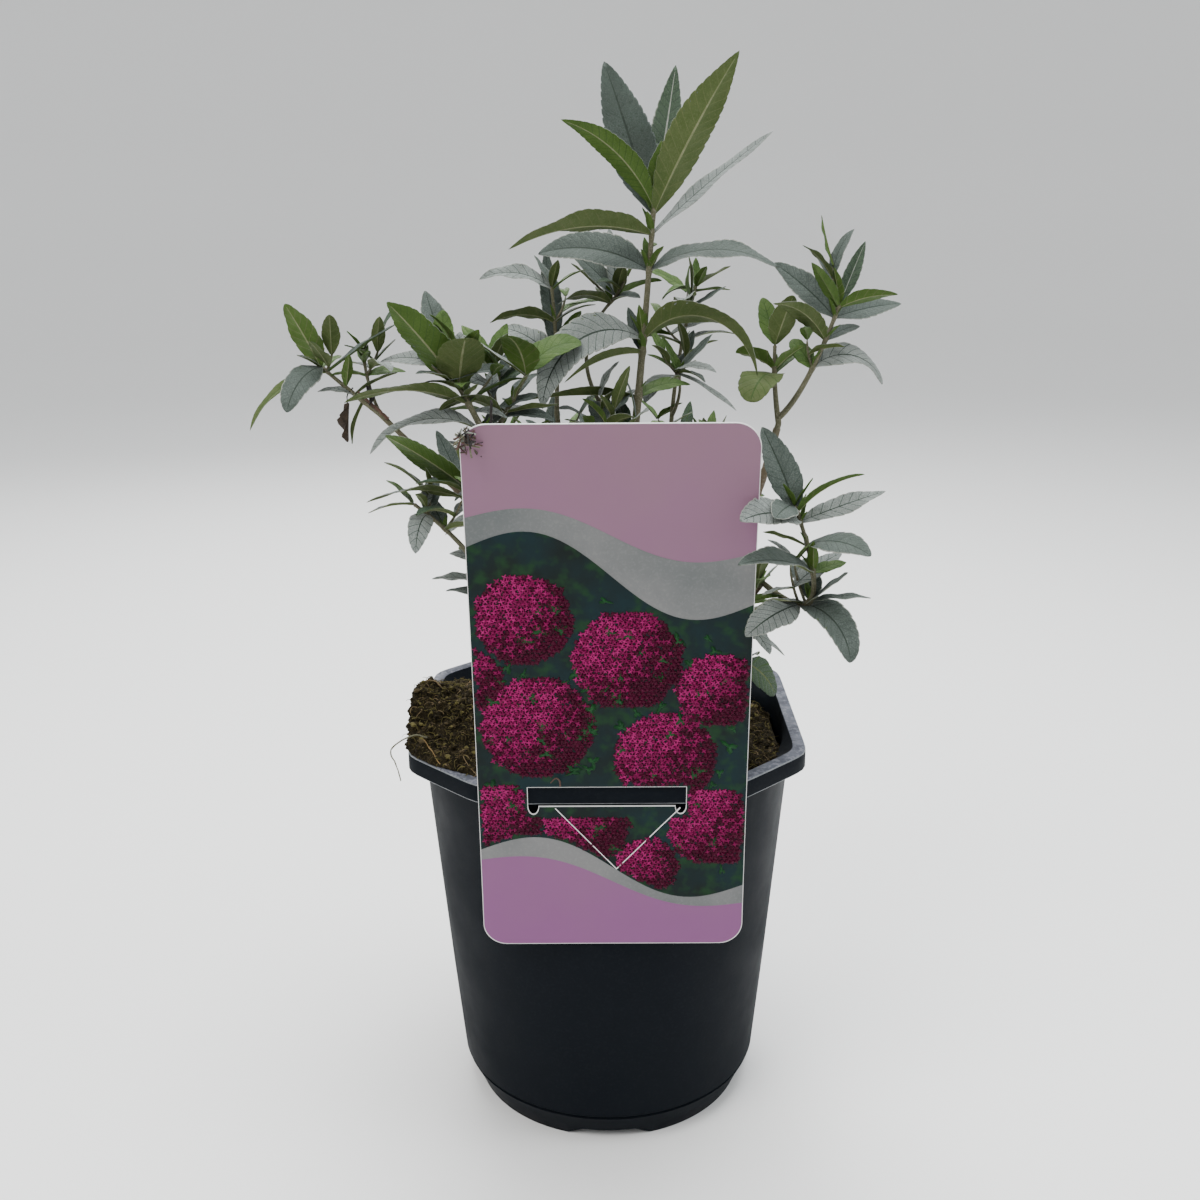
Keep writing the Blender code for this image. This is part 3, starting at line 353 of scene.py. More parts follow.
def simpleMesh(points, faces):
    mesh = bpy.data.meshes.new("shape")
    mesh.from_pydata(points, [], faces)
    shape = bmesh.new()
    shape.from_mesh(mesh)
    bmesh.ops.recalc_face_normals(shape, faces=shape.faces)
    shape.to_mesh(mesh)
    shape.free()
    return mesh


def buildPot():
    s = potShape
    faceLow = s["height"] - s["rimFace"]
    collarLow = faceLow - s["collarDepth"]
    inner = s["rimHalf"] - s["rimInset"]
    soft, fine = 0.0007, 0.0003
    # Strips of finish 2 carry the painted edge highlight: in the groove, at the collar, and along the rim's lower and
    # upper outer edges
    rings = [  # height, size, share of the rim's cut square, finish of the strip above
        (0, s["pad"], 0, 0), (s["floorUnder"], s["pad"] + 0.001, 0, 0),
        (s["floorUnder"], s["foot"] - 0.0002, 0, 0), (fine, s["foot"] - 0.002, 0, 0), (0, s["foot"] - 0.0017, 0, 0),
        (0, s["foot"] - fine, 0, 0), (fine, s["foot"], 0, 0),
        (s["grooveHeight"] * 0.5, (s["foot"] + s["groove"]) / 2 - fine, 0, 0),
        (s["grooveHeight"] - 2.4 * soft, s["groove"] - soft, 0, 0),
        (s["grooveHeight"] - 1.6 * soft, s["groove"] - 2.3 * soft, 0, 0),
        (s["grooveHeight"] - 0.8 * soft, s["groove"] - 2.3 * soft, 0, 2),
        (s["grooveHeight"], s["groove"] - fine, 0, 0), (s["grooveHeight"] + fine, s["groove"], 0, 0),
        (0.06, s["groove"] + 0.0042, 0, 0), (0.11, s["groove"] + 0.0085, 0, 0),
        (collarLow - fine, s["bodyTop"] - fine / 2, 0, 0), (collarLow, s["bodyTop"], 0, 2),
        (collarLow + soft * 0.6, s["bodyTop"] + s["collarStep"], 0, 0),
        (faceLow, s["bodyTop"] + s["collarStep"], 0, 0),
        (faceLow, s["rimHalf"] - fine, 1, 2), (faceLow + fine, s["rimHalf"], 1, 2),
        (faceLow + 1.6 * fine, s["rimHalf"], 1, 0),
        (s["height"] - soft, s["rimHalf"], 1, 2), (s["height"] - soft * 0.3, s["rimHalf"] - soft * 0.3, 1, 1),
        (s["height"], s["rimHalf"] - soft, 1, 1), (s["height"], s["rimHalf"] - s["rimInset"] / 2, 1, 1),
        (s["height"], inner + soft, 1, 1), (s["height"] - soft * 0.4, inner + fine, 1, 0),
        (s["height"] - soft * 1.4, inner, 1, 0), (faceLow + 0.002, inner + 0.0004, 0.3, 0),
        (faceLow - 0.0035, inner + 0.001, 0, 0), (collarLow - 0.0035, s["bodyTop"] - 0.0003 - s["wall"], 0, 0),
        (s["grooveHeight"], s["groove"] - 0.0002 - s["wall"], 0, 0), (s["floorTop"], s["foot"] + 0.001, 0, 0)]
    pile = newPile()
    loftInto(pile, [potRing(*ring[:3]) for ring in rings], [ring[3] for ring in rings])
    mesh = bpy.data.meshes.new("pot")
    mesh.from_pydata(pile["points"], [], pile["faces"])
    mesh.polygons.foreach_set("material_index", pile["finish"])
    finishes = [finishOf(name, values) for name, values in potFinishes.items()]
    for finish in finishes:
        mesh.materials.append(finish)
    cutters = []
    low, high = (width / 2 for width in s["notchWidth"])
    box = [(0, 1, 2, 3), (4, 7, 6, 5), (0, 4, 5, 1), (1, 5, 6, 2), (2, 6, 7, 3), (3, 7, 4, 0)]
    for i in range(s["notches"]):
        turn = Matrix.Rotation(i * 2 * math.pi / s["notches"] - math.pi / 2, 3, "Z")
        corners = [turn @ Vector((x, y, z)) for x in (s["foot"] * 0.7, s["foot"] * 1.2)
                   for y, z in ((-low, -0.002), (low, -0.002), (high, s["notchHeight"]), (-high, s["notchHeight"]))]
        cutters.append(simpleMesh(corners, box))
    for i in range(s["drains"]):
        angle = (i + 0.5) * 2 * math.pi / s["drains"]
        centre = Vector((math.cos(angle), math.sin(angle), 0)) * s["drainCircle"]
        ring = [centre + Vector((math.cos(k * math.pi / 12), math.sin(k * math.pi / 12), 0)) * s["drainRadius"]
                for k in range(24)]
        sides = [(k, (k + 1) % 24, 24 + (k + 1) % 24, 24 + k) for k in range(24)]
        tube = [point + Vector((0, 0, height)) for height in (0.003, 0.012) for point in ring]
        cutters.append(simpleMesh(tube, sides + [tuple(range(24)), tuple(range(24, 48))]))
    mesh = cutWith(mesh, cutters)
    given = [face.material_index for face in mesh.polygons]
    mesh.materials.clear()
    mesh.polygons.foreach_set("use_smooth", [True] * len(mesh.polygons))
    mesh.set_sharp_from_angle(angle=math.radians(38))
    pieceOf("nurseryPot", mesh, finishes, ["pot"])
    mesh.polygons.foreach_set("material_index", given)  # clearing the slots set them all to 0


buildPot()
print("pot")


# Compost: a crumbly crust on the root ball, with crumbs, fibres and straws
compostLook = {
    "low": 0.150, "level": 0.1728, "heap": 0.0160,
    "mounds": ((-0.0862, -0.0130, 0.0230, 0.0125), (0.0700, -0.0600, 0.0230, 0.0100), (0.058, 0.010, 0.022, -0.0035),
               (-0.052, 0.040, 0.020, -0.0020), (-0.030, -0.078, 0.022, 0.0035)),
    "ball": ((0.0117, 0.0590), (0.0200, 0.0600), (0.0900, 0.0665), (0.1400, 0.0700), (0.1535, 0.0715)),
    "relief": (0.0012, 90.0), "heading": 196, "spread": 108, "voxel": 0.00085,
    "lumps": (0.0019, 170), "crumb": (0.0021, 360), "grit": (0.0006, 1200), "edge": 0.0788, "over": 0.0852,
    "crumbs": 1500, "crumbSize": (0.0005, 0.0015), "fibres": 11500, "fibreLength": (0.0022, 0.0068),
    "fibreRadius": (0.00012, 0.00027), "straws": 30, "strawLength": (0.009, 0.024), "strawRadius": (0.0002, 0.00038),
    "seed": 31,
}
compostFinishes = {
    "compostBrown": {
        "Colour": (0.014, 0.0105, 0.005), "Second Colour": (0.005, 0.004, 0.002), "Speck Colour": (0.056, 0.044, 0.018),
        "Patch Scale": 170.0, "Speck Scale": 1100.0, "Speck Share": 0.7, "Rough Low": 0.85, "Rough High": 1.0,
        "bump": 0.9, "bumpDistance": 0.0008, "Specular IOR Level": 0.1},
    "fibreOlive": {
        "Colour": (0.105, 0.088, 0.026), "Second Colour": (0.06, 0.052, 0.016), "Speck Colour": (0.18, 0.15, 0.06),
        "Patch Scale": 240.0, "Rough Low": 0.8, "Rough High": 0.95, "Specular IOR Level": 0.2},
    "fibreBrown": {
        "Colour": (0.05, 0.036, 0.015), "Second Colour": (0.026, 0.019, 0.008), "Speck Colour": (0.09, 0.065, 0.03),
        "Patch Scale": 240.0, "Rough Low": 0.8, "Rough High": 0.95, "Specular IOR Level": 0.2},
    "strawPale": {
        "Colour": (0.24, 0.15, 0.05), "Second Colour": (0.15, 0.09, 0.03), "Speck Colour": (0.32, 0.22, 0.1),
        "Patch Scale": 300.0, "Rough Low": 0.55, "Rough High": 0.75, "Specular IOR Level": 0.25},
    "rootGrey": {
        "Colour": (0.17, 0.12, 0.06), "Second Colour": (0.1, 0.07, 0.035), "Speck Colour": (0.26, 0.2, 0.12),
        "Patch Scale": 300.0, "Rough Low": 0.7, "Rough High": 0.9, "Specular IOR Level": 0.2},
}
compostPaint = [finishOf(name, values) for name, values in compostFinishes.items()]


def sweepInto(pile, points, radii, sides, finish, square=0.0, turn=0.0):
    rings = []
    across = None
    for i, (point, radius) in enumerate(zip(points, radii)):
        way = (points[min(i + 1, len(points) - 1)] - points[max(i - 1, 0)]).normalized()
        if across is None:
            across = way.orthogonal().normalized()
        across = (across - way * across.dot(way)).normalized()
        second = way.cross(across)
        ring = []
        for k in range(sides):
            angle = 2 * math.pi * k / sides + turn
            reach = radius * (1 + square * math.cos(4 * angle))
            ring.append(point + across * (reach * math.cos(angle)) + second * (reach * math.sin(angle)))
        rings.append(ring)
    strips = finish if isinstance(finish, list) else [finish] * len(rings)
    loftInto(pile, rings, strips)


def heapShare(x, y):  # 1 in the middle of the heap on the left, 0 away from it
    away = abs((math.atan2(y, x) - math.radians(compostLook["heading"]) + math.pi) % math.tau - math.pi)
    return 0.5 + 0.5 * math.cos(math.pi * min(away / math.radians(compostLook["spread"]), 1))


def compostReach(angle):  # how far out the compost goes: to the wall, and over the rim where it is heaped
    full = heapShare(math.cos(angle), math.sin(angle))
    spilt = min(max(full - 0.62, 0) / 0.25, 1)
    inner = squareRadius(angle, compostLook["edge"])
    return inner + spilt * (squareRadius(angle, compostLook["over"]) - inner) - 0.0012 * (1 - spilt)


def buildCrust():
    c = compostLook
    sides, rows = 160, 26
    rim = potShape["height"]
    rings = [[], []]
    for i in range(sides):
        angle = math.tau * i / sides
        reach = min(compostReach(angle), squareRadius(angle, c["edge"]) - 0.0006)
        for ring, height in zip(rings, (c["low"], c["level"] - 0.002)):
            size = min(reach, 0.0798) * (0.985 if height == c["low"] else 1)
            ring.append((size * math.cos(angle), size * math.sin(angle), height))
    for row in range(rows + 1):
        share = 1 - row / rows * 0.97
        ring = []
        for i in range(sides):
            angle = math.tau * i / sides
            reach = compostReach(angle)
            x, y = reach * share * math.cos(angle), reach * share * math.sin(angle)
            full = heapShare(x, y)
            drop = 0.0042 * max(0, (share - 0.86) / 0.14) ** 1.5 * (1 - 0.65 * full)
            height = c["level"] + c["heap"] * full * (0.35 + 0.65 * min(share * 1.7, 1)) - drop
            height += sum(rise * math.exp(-((x - mx) ** 2 + (y - my) ** 2) / size ** 2) for mx, my, size, rise in c["mounds"])
            spilt = share * reach > squareRadius(angle, potShape["rimHalf"] - potShape["rimInset"])
            ring.append((x, y, max(height, rim + 0.0008) if spilt else height))
        if row == 0:  # the skirt lies on the rim where the heap spills over
            rings.append([(x, y, (rim + 0.0004) if math.hypot(x, y) > squareRadius(math.atan2(y, x), 0.0796)
                           else c["level"] - 0.001) for x, y, _ in ring])
        rings.append(ring)
    pile = newPile()
    loftInto(pile, rings, [0] * len(rings))
    mesh = simpleMesh(pile["points"], pile["faces"])
    mesh = withModifiers(mesh, [("REMESH", {"mode": "VOXEL", "voxel_size": c["voxel"]})])
    normals = [v.normal.copy() for v in mesh.vertices]
    for vert, normal in zip(mesh.vertices, normals):
        if vert.co.z < c["level"] - 0.004:
            continue
        lump = noise.noise(vert.co * c["lumps"][1]) * c["lumps"][0]
        crumb = (abs(noise.noise(vert.co * c["crumb"][1])) * 2 - 0.6) * c["crumb"][0]
        grit = noise.noise(vert.co * c["grit"][1]) * c["grit"][0]
        push = lump + crumb + grit
        angle = math.atan2(vert.co.y, vert.co.x)
        wall = squareRadius(angle, c["edge"]) - math.hypot(vert.co.x, vert.co.y)
        vert.co += normal * (push if wall > 0.002 or vert.co.z > rim + 0.001 else min(push, 0) * 0.4)
    mesh.polygons.foreach_set("use_smooth", [True] * len(mesh.polygons))
    pieceOf("compostCrust", mesh, compostPaint, ["compost"])
    return treeOf(mesh)


def buildBall():  # the root ball below, seen through the drain holes
    count = 96
    rings = []
    for height, size in compostLook["ball"]:
        ring = []
        for i in range(count):
            angle = math.tau * i / count
            push = noise.noise(Vector((math.cos(angle) * size, math.sin(angle) * size, height)) * compostLook["relief"][1])
            reach = size - compostLook["relief"][0] * (1 + push)
            ring.append((reach * math.cos(angle), reach * math.sin(angle), height))
        rings.append(ring)
    pile = newPile()
    loftInto(pile, rings, [0] * len(rings))
    pieceFrom("rootBall", pile, compostPaint)


def dropOn(tree, x, y, above=0.3):
    hit = tree.ray_cast(Vector((x, y, above)), Vector((0, 0, -1)))
    return hit[0]


def buildLitter(tree):
    rng = random.Random(compostLook["seed"])
    crumbs, fibres, straws = newPile(), (newPile(), newPile()), newPile()
    ball = bmesh.new()
    bmesh.ops.create_icosphere(ball, subdivisions=1, radius=1)
    ballPoints = [v.co.copy() for v in ball.verts]
    ballFaces = [tuple(v.index for v in f.verts) for f in ball.faces]
    ball.free()

    def someplace(room=0.001):
        while True:
            angle, share = rng.uniform(0, math.tau), math.sqrt(rng.random())
            reach = compostReach(angle) - room
            x, y = reach * share * math.cos(angle), reach * share * math.sin(angle)
            if rng.random() < 0.55 + 0.45 * heapShare(x, y):
                hit = dropOn(tree, x, y)
                if hit:
                    return hit

    for _ in range(compostLook["crumbs"]):
        place = someplace()
        size = rng.uniform(*compostLook["crumbSize"])
        stretch = Vector((rng.uniform(0.7, 1.5), rng.uniform(0.7, 1.5), rng.uniform(0.5, 0.9))) * size
        turn = Matrix.Rotation(rng.uniform(0, math.tau), 3, "Z")
        points = [place + turn @ Vector([a * b * rng.uniform(0.75, 1.2) for a, b in zip(point, stretch)])
                  for point in ballPoints]
        addTo(crumbs, points, ballFaces, rng.choice((0, 0, 1, 2, 2)))

    for count in range(compostLook["fibres"]):  # short curled fibres, half sunk in the crust
        place = someplace()
        length, radius = rng.uniform(*compostLook["fibreLength"]), rng.uniform(*compostLook["fibreRadius"])
        heading, slope = rng.uniform(0, math.tau), rng.uniform(-0.3, 0.75)
        curl, dip = rng.uniform(-1.1, 1.1), rng.uniform(0.1, 0.55)
        points = [place - Vector((0, 0, 0.0004))]
        for i in range(5):
            way = Vector((math.cos(slope) * math.cos(heading), math.cos(slope) * math.sin(heading), math.sin(slope)))
            points.append(points[-1] + way * length / 5)
            heading += curl * rng.uniform(0.4, 1.2)
            slope -= dip
        sweepInto(fibres[count % 2], points, [radius * (1 - 0.09 * i) for i in range(6)], 3,
                  rng.choice((1, 1, 1, 1, 2, 2, 2, 4)))

    for _ in range(compostLook["straws"]):
        place = someplace(0.006)
        length, radius = rng.uniform(*compostLook["strawLength"]), rng.uniform(*compostLook["strawRadius"])
        heading, rise, steps = rng.uniform(0, math.tau), rng.uniform(0.0004, 0.0025), 7
        points = []
        for i in range(steps + 1):
            ground = dropOn(tree, place.x, place.y)
            level = ground.z if ground else points[-1].z - 0.0005
            level = level if not points else max(points[-1].z - 0.0016, min(level, points[-1].z + 0.0014))
            points.append(Vector((place.x, place.y, level + 0.0003 + rise * math.sin(math.pi * i / steps) / steps)))
            place = place + Vector((math.cos(heading), math.sin(heading), 0)) * length / steps
            heading += rng.uniform(-0.16, 0.16)
        sweepInto(straws, points, [radius * (1 - 0.06 * i) for i in range(steps + 1)], 4, rng.choice((3, 3, 4)))
    pieceFrom("compostCrumbs", crumbs, compostPaint, smooth=False)
    pieceFrom("compostFibres", fibres[0], compostPaint)
    pieceFrom("compostHairs", fibres[1], compostPaint)
    pieceFrom("compostStraws", straws, compostPaint)


buildBall()
buildLitter(buildCrust())
print("compost")


# Label: a bent plastic card with a generic printed picture, hung on the rim by a folded tab
labelCard = {
    "width": 0.1069, "above": 0.1542, "below": 0.0688, "corner": 0.0095, "thick": 0.0006, "lean": 0.09, "curl": 0.67,
    "front": -0.0862, "slot": (0.0631, 0.0086), "shift": 0.0021, "hook": (0.0042, 0.0036), "inset": 0.00025,
    "tabWidths": (0.058, 0.056, 0.046, 0.014), "lip": 0.004, "layer": 0.00004, "strip": 0.006,
    "tongue": ((-0.0227, -0.0052), (0.0016, -0.0332), (0.0270, -0.0052)), "cutWidth": 0.00032,
}
labelPicture = {  # generic: round flower heads on a dark garden ground, under two falling bands
    "upper": (0.107, 0.083, 0.0115), "lower": (-0.024, -0.041, 0.0095), "band": (0.021, 0.0085),
    "heads": ((-0.033, 0.077, 0.0190), (0.006, 0.060, 0.0215), (0.041, 0.047, 0.0165), (-0.029, 0.031, 0.0225),
              (0.021, 0.017, 0.0205), (-0.010, -0.012, 0.0175), (-0.044, -0.010, 0.0165), (0.041, -0.014, 0.0185),
              (0.014, -0.032, 0.0130), (-0.054, 0.052, 0.0130)),
    "floret": 0.0014, "spacing": 0.00185, "leaves": 120, "leafSize": (0.0022, 0.0052), "seed": 12,
}
labelFinishes = {
    "cardWhite": {
        "Colour": (0.72, 0.71, 0.70), "Second Colour": (0.66, 0.65, 0.65), "Speck Colour": (0.5, 0.48, 0.46),
        "Patch Scale": 40.0, "Speck Scale": 500.0, "Speck Share": 0.1, "Rough Low": 0.35, "Rough High": 0.5,
        "bump": 0.05, "Specular IOR Level": 0.3},
    "printGarden": {
        "Colour": (0.002, 0.006, 0.005), "Second Colour": (0.002, 0.013, 0.016), "Speck Colour": (0.005, 0.030, 0.008),
        "Patch Scale": 34.0, "Speck Scale": 150.0, "Speck Share": 0.85, "Rough Low": 0.32, "Rough High": 0.42,
        "bump": 0.04, "Specular IOR Level": 0.12},
    "printBand": {
        "Colour": (0.098, 0.106, 0.106), "Second Colour": (0.155, 0.155, 0.155), "Speck Colour": (0.3, 0.3, 0.3),
        "Patch Scale": 14.0, "Speck Scale": 900.0, "Speck Share": 0.1, "Rough Low": 0.3, "Rough High": 0.42,
        "bump": 0.04, "Specular IOR Level": 0.15},
    "floretDeep": {
        "Colour": (0.055, 0.0016, 0.016), "Second Colour": (0.030, 0.0012, 0.009), "Speck Colour": (0.09, 0.003, 0.03),
        "Patch Scale": 300.0, "Rough Low": 0.32, "Rough High": 0.45, "Specular IOR Level": 0.1},
    "floretMid": {
        "Colour": (0.17, 0.003, 0.056), "Second Colour": (0.12, 0.0024, 0.04), "Speck Colour": (0.22, 0.01, 0.08),
        "Patch Scale": 300.0, "Rough Low": 0.32, "Rough High": 0.45, "Specular IOR Level": 0.1},
    "floretLight": {
        "Colour": (0.29, 0.01, 0.105), "Second Colour": (0.22, 0.006, 0.08), "Speck Colour": (0.36, 0.03, 0.15),
        "Patch Scale": 300.0, "Rough Low": 0.32, "Rough High": 0.45, "Specular IOR Level": 0.1},
    "printLeaf": {
        "Colour": (0.008, 0.05, 0.014), "Second Colour": (0.005, 0.03, 0.01), "Speck Colour": (0.02, 0.08, 0.02),
        "Patch Scale": 200.0, "Rough Low": 0.32, "Rough High": 0.45, "Specular IOR Level": 0.1},
}


def fadeFinish(name, low, high, lowHeight, highHeight):  # two colours that fade up the card
    made = bpy.data.materials.new(name)
    made.use_nodes = True
    tree = made.node_tree
    shader = tree.nodes["Principled BSDF"]
    place = tree.nodes.new("ShaderNodeTexCoord").outputs["Object"]
    split = tree.nodes.new("ShaderNodeSeparateXYZ")
    tree.links.new(place, split.inputs[0])
    cloud = noiseNode(tree, place, 30.0, 3.0).outputs["Fac"]
    share = stepNode(tree, split.outputs["Z"], lowHeight, highHeight)
    share = mathNode(tree, "ADD", share, mathNode(tree, "MULTIPLY", mathNode(tree, "SUBTRACT", cloud, 0.5), 0.5))
    tree.links.new(mixNode(tree, share, (*low, 1), (*high, 1)), shader.inputs["Base Color"])
    tree.links.new(stepNode(tree, cloud, 0.3, 0.7, 0.3, 0.42), shader.inputs["Roughness"])
    shader.inputs["Specular IOR Level"].default_value = 0.15
    return made


labelPaint = [finishOf(name, values) for name, values in labelFinishes.items()]
labelPaint.append(fadeFinish("printMauve", (0.185, 0.070, 0.170), (0.200, 0.110, 0.155), 0.12, 0.33))


def cardPlace(x, up, out):
    c = labelCard
    bend = c["lean"] + c["curl"] * up / 2
    lean = c["lean"] + c["curl"] * up
    return Vector((x + c["shift"], c["front"] - bend * up - out,
                   potShape["height"] - potShape["rimFace"] / 2 + up * math.cos(bend) - out * math.sin(lean)))


def cardOutline(inset, count=10):
    c = labelCard
    half, corner = c["width"] / 2 - inset, c["corner"]
    top, low = c["above"] - inset, c["below"] - inset
    centres = ((half - corner, top - corner), (corner - half, top - corner),
               (corner - half, corner - low), (half - corner, corner - low))
    outline = []
    for turn, (x, y) in enumerate(centres):
        for i in range(count + 1):
            angle = (turn + i / count) * math.pi / 2
            outline.append((x + corner * math.cos(angle), y + corner * math.sin(angle)))
    return outline


def slotOutline(grow):
    c = labelCard
    half, top = c["slot"][0] / 2 + grow, c["slot"][1] / 2 + grow
    width, depth = c["hook"][0] + 2 * grow, c["hook"][1]
    outline = [(half, top), (-half, top)]
    for left in (-half, half - width):
        middle = left + width / 2
        outline += [(middle - width / 2 * math.cos(math.pi * i / 10), -top - depth * math.sin(math.pi * i / 10))
                    for i in range(11)]
    return [(x - c["shift"], y) for x, y in outline]


def cardSheet(outlines, low, high):  # a flat shape with holes, bent to the card, from low to high over its middle
    line = bpy.data.curves.new("sheet", "CURVE")
    line.dimensions = "2D"
    line.fill_mode = "BOTH"
    line.extrude = 0.5
    for outline in outlines:
        spline = line.splines.new("POLY")
        spline.points.add(len(outline) - 1)
        for point, (x, y) in zip(spline.points, outline):
            point.co = (x, y, 0, 1)
        spline.use_cyclic_u = True
    helper = bpy.data.objects.new("sheet", line)
    bpy.context.scene.collection.objects.link(helper)
    mesh = evaluated(helper)
    bpy.data.objects.remove(helper)
    shape = bmesh.new()
    shape.from_mesh(mesh)
    bmesh.ops.remove_doubles(shape, verts=shape.verts, dist=0.000005)
    heights = [v.co.y for v in shape.verts]
    for i in range(int(min(heights) / labelCard["strip"]), int(max(heights) / labelCard["strip"]) + 1):
        bmesh.ops.bisect_plane(shape, geom=shape.verts[:] + shape.edges[:] + shape.faces[:],
                               plane_co=(0, i * labelCard["strip"], 0), plane_no=(0, 1, 0), dist=0.000002)
    for vert in shape.verts:
        vert.co = cardPlace(vert.co.x, vert.co.y, low if vert.co.z < 0 else high)
    bmesh.ops.recalc_face_normals(shape, faces=shape.faces)
    points = [tuple(v.co) for v in shape.verts]
    faces = [tuple(v.index for v in f.verts) for f in shape.faces]
    shape.free()
    return points, faces


def waveLine(ends, count=40):  # a curve across the card: its heights at left and right, and its swell
    left, right, swell = ends
    half = labelCard["width"] / 2 - labelCard["inset"]
    line = []
    for i in range(count + 1):
        share = i / count
        line.append((-half + 2 * half * share, left + (right - left) * share + swell * math.sin(2 * math.pi * share)))
    return line


def heightOn(ends, x):
    half = labelCard["width"] / 2
    share = (x + half) / (2 * half)
    return ends[0] + (ends[1] - ends[0]) * share + ends[2] * math.sin(2 * math.pi * share)


def clearOfSlot(x, up, room):
    half, top = labelCard["slot"][0] / 2, labelCard["slot"][1] / 2
    return not (abs(x + labelCard["shift"]) < half + room and -top - labelCard["hook"][1] - room < up < top + room)


def onPicture(x, up, room):
    inside = heightOn(labelPicture["lower"], x) + room < up < heightOn(labelPicture["upper"], x) - room
    return inside and abs(x) < labelCard["width"] / 2 - room and clearOfSlot(x, up, room)


def petalInto(pile, x, up, size, turn, level, finish, petals=4, stretch=1.0):
    ring = []
    for i in range(petals * 4):
        reach = size * (0.62 + 0.38 * math.cos(i * math.pi / 2)) if petals > 1 else size
        angle = i * 2 * math.pi / (petals * 4)
        along, across = reach * math.cos(angle), reach * math.sin(angle) * stretch
        ring.append((x + along * math.cos(turn) - across * math.sin(turn),
                     up + along * math.sin(turn) + across * math.cos(turn)))
    count = len(ring)
    points = [cardPlace(*point, level) for point in ring]
    points += [cardPlace(x, up, level + size * 0.06), cardPlace(x, up, labelCard["thick"] / 2)]
    faces = [(i, (i + 1) % count, count) for i in range(count)]
    faces += [((i + 1) % count, i, count + 1) for i in range(count)]
    addTo(pile, points, faces, finish)


def cutLine(a, b, wide):
    way = (Vector(b) - Vector(a)).normalized() * wide / 2
    side = Vector((-way.y, way.x))
    a, b = Vector(a) - way, Vector(b) + way
    return [tuple(point) for point in (a + side, a - side, b - side, b + side)]


def buildLabel():
    c, p = labelCard, labelPicture
    half = c["thick"] / 2
    white, garden, band, deep, mid, light, leafInk, mauve = range(8)
    card = newPile()
    addTo(card, *cardSheet([cardOutline(0), slotOutline(0)], -half, half), white)
    addTo(card, *cardSheet([cardOutline(c["inset"]), slotOutline(c["inset"])], 0, half + c["layer"]), mauve)
    for edge, way in ((p["upper"], 1), (p["lower"], -1)):
        spread = p["band"][0] if way > 0 else p["band"][1]
        far = (edge[0] + way * spread * 0.55, edge[1] + way * spread, edge[2] * 0.6)
        addTo(card, *cardSheet([waveLine(edge) + waveLine(far)[::-1]], 0, half + 2 * c["layer"]), band)
    picture = waveLine(p["lower"]) + waveLine(p["upper"])[::-1]
    addTo(card, *cardSheet([picture, slotOutline(c["inset"])], 0, half + 3 * c["layer"]), garden)
    for line in zip(c["tongue"], c["tongue"][1:]):
        addTo(card, *cardSheet([cutLine(*line, c["cutWidth"])], 0, half + 9 * c["layer"]), white)

    rng = random.Random(p["seed"])
    prints = newPile()
    top = half + 4 * c["layer"]
    for _ in range(p["leaves"]):
        x, up = rng.uniform(-0.05, 0.05), rng.uniform(-0.035, 0.09)
        size = rng.uniform(*p["leafSize"])
        if onPicture(x, up, size * 1.05):
            petalInto(prints, x, up, size, rng.uniform(0, math.tau), top, leafInk, 3, rng.uniform(0.4, 0.8))
    for x, up, radius in p["heads"]:
        rows = int(radius / p["spacing"]) + 1
        for row in range(-rows, rows + 1):
            for column in range(-rows, rows + 1):
                dx = (column + 0.5 * (row % 2)) * p["spacing"] + rng.uniform(-0.0003, 0.0003)
                dy = row * p["spacing"] * 0.87 + rng.uniform(-0.0003, 0.0003)
                away = math.hypot(dx, dy) / radius
                if away < 0.97 and onPicture(x + dx, up + dy, p["spacing"] * 0.72):  # the dark ground of the head
                    petalInto(prints, x + dx, up + dy, p["spacing"] * 0.68, 0.4, top - 0.5 * c["layer"], deep, 1)
                size = p["floret"] * rng.uniform(0.8, 1.15)
                if away > rng.uniform(0.92, 1.04) or not onPicture(x + dx, up + dy, size):
                    continue
                shade = 0.55 + 0.45 * (dy - dx) / radius - 0.35 * away ** 2 + rng.uniform(-0.35, 0.35)
                finish = deep if shade < 0.3 else light if shade > 0.72 else mid
                petalInto(prints, x + dx, up + dy, size, rng.uniform(0, math.tau), top + rng.uniform(1, 5) * c["layer"],
                          finish)
    pieceFrom("labelCard", card, labelPaint, ["label"], smooth=False)
    pieceFrom("labelPrint", prints, labelPaint)
    buildTab()


def buildTab():  # folded back over the rim, its lip down inside the pot
    c = labelCard
    level = potShape["height"] + 0.0003 + c["thick"] / 2
    inner = -(potShape["rimHalf"] - potShape["rimInset"]) + 0.0006 + c["thick"] / 2
    front = c["front"] - c["lean"] * c["slot"][1] / 2
    wide, tongue, fold, lip = (width / 2 for width in c["tabWidths"])
    turn = 0.0009
    path = [(front, level, wide), (front + 0.002, level, tongue), (inner - turn, level, fold)]
    path += [(inner - turn + turn * math.sin(a), level - turn + turn * math.cos(a), fold - (fold - lip) * a / 3)
             for a in (0.5, 1.0, math.pi / 2)]
    path += [(inner, level - c["lip"] * 0.8, lip * 1.1), (inner, level - c["lip"], lip * 0.7)]
    rings = []
    half = c["thick"] / 2
    for i, (y, z, reach) in enumerate(path):
        before, after = path[max(i - 1, 0)], path[min(i + 1, len(path) - 1)]
        way = Vector((0, after[0] - before[0], after[1] - before[1])).normalized()
        up = Vector((1, 0, 0)).cross(way)
        middle = Vector((0, y, z))
        rings.append([middle + Vector((side * reach, 0, 0)) + up * level for side, level in
                      ((-1, half), (-1, -half), (1, -half), (1, half))])
    pile = newPile()
    loftInto(pile, rings, [0] * len(rings))
    shape = simpleMesh(pile["points"], pile["faces"])
    pieceOf("labelTab", shape, labelPaint[:1])


buildLabel()
print("label")


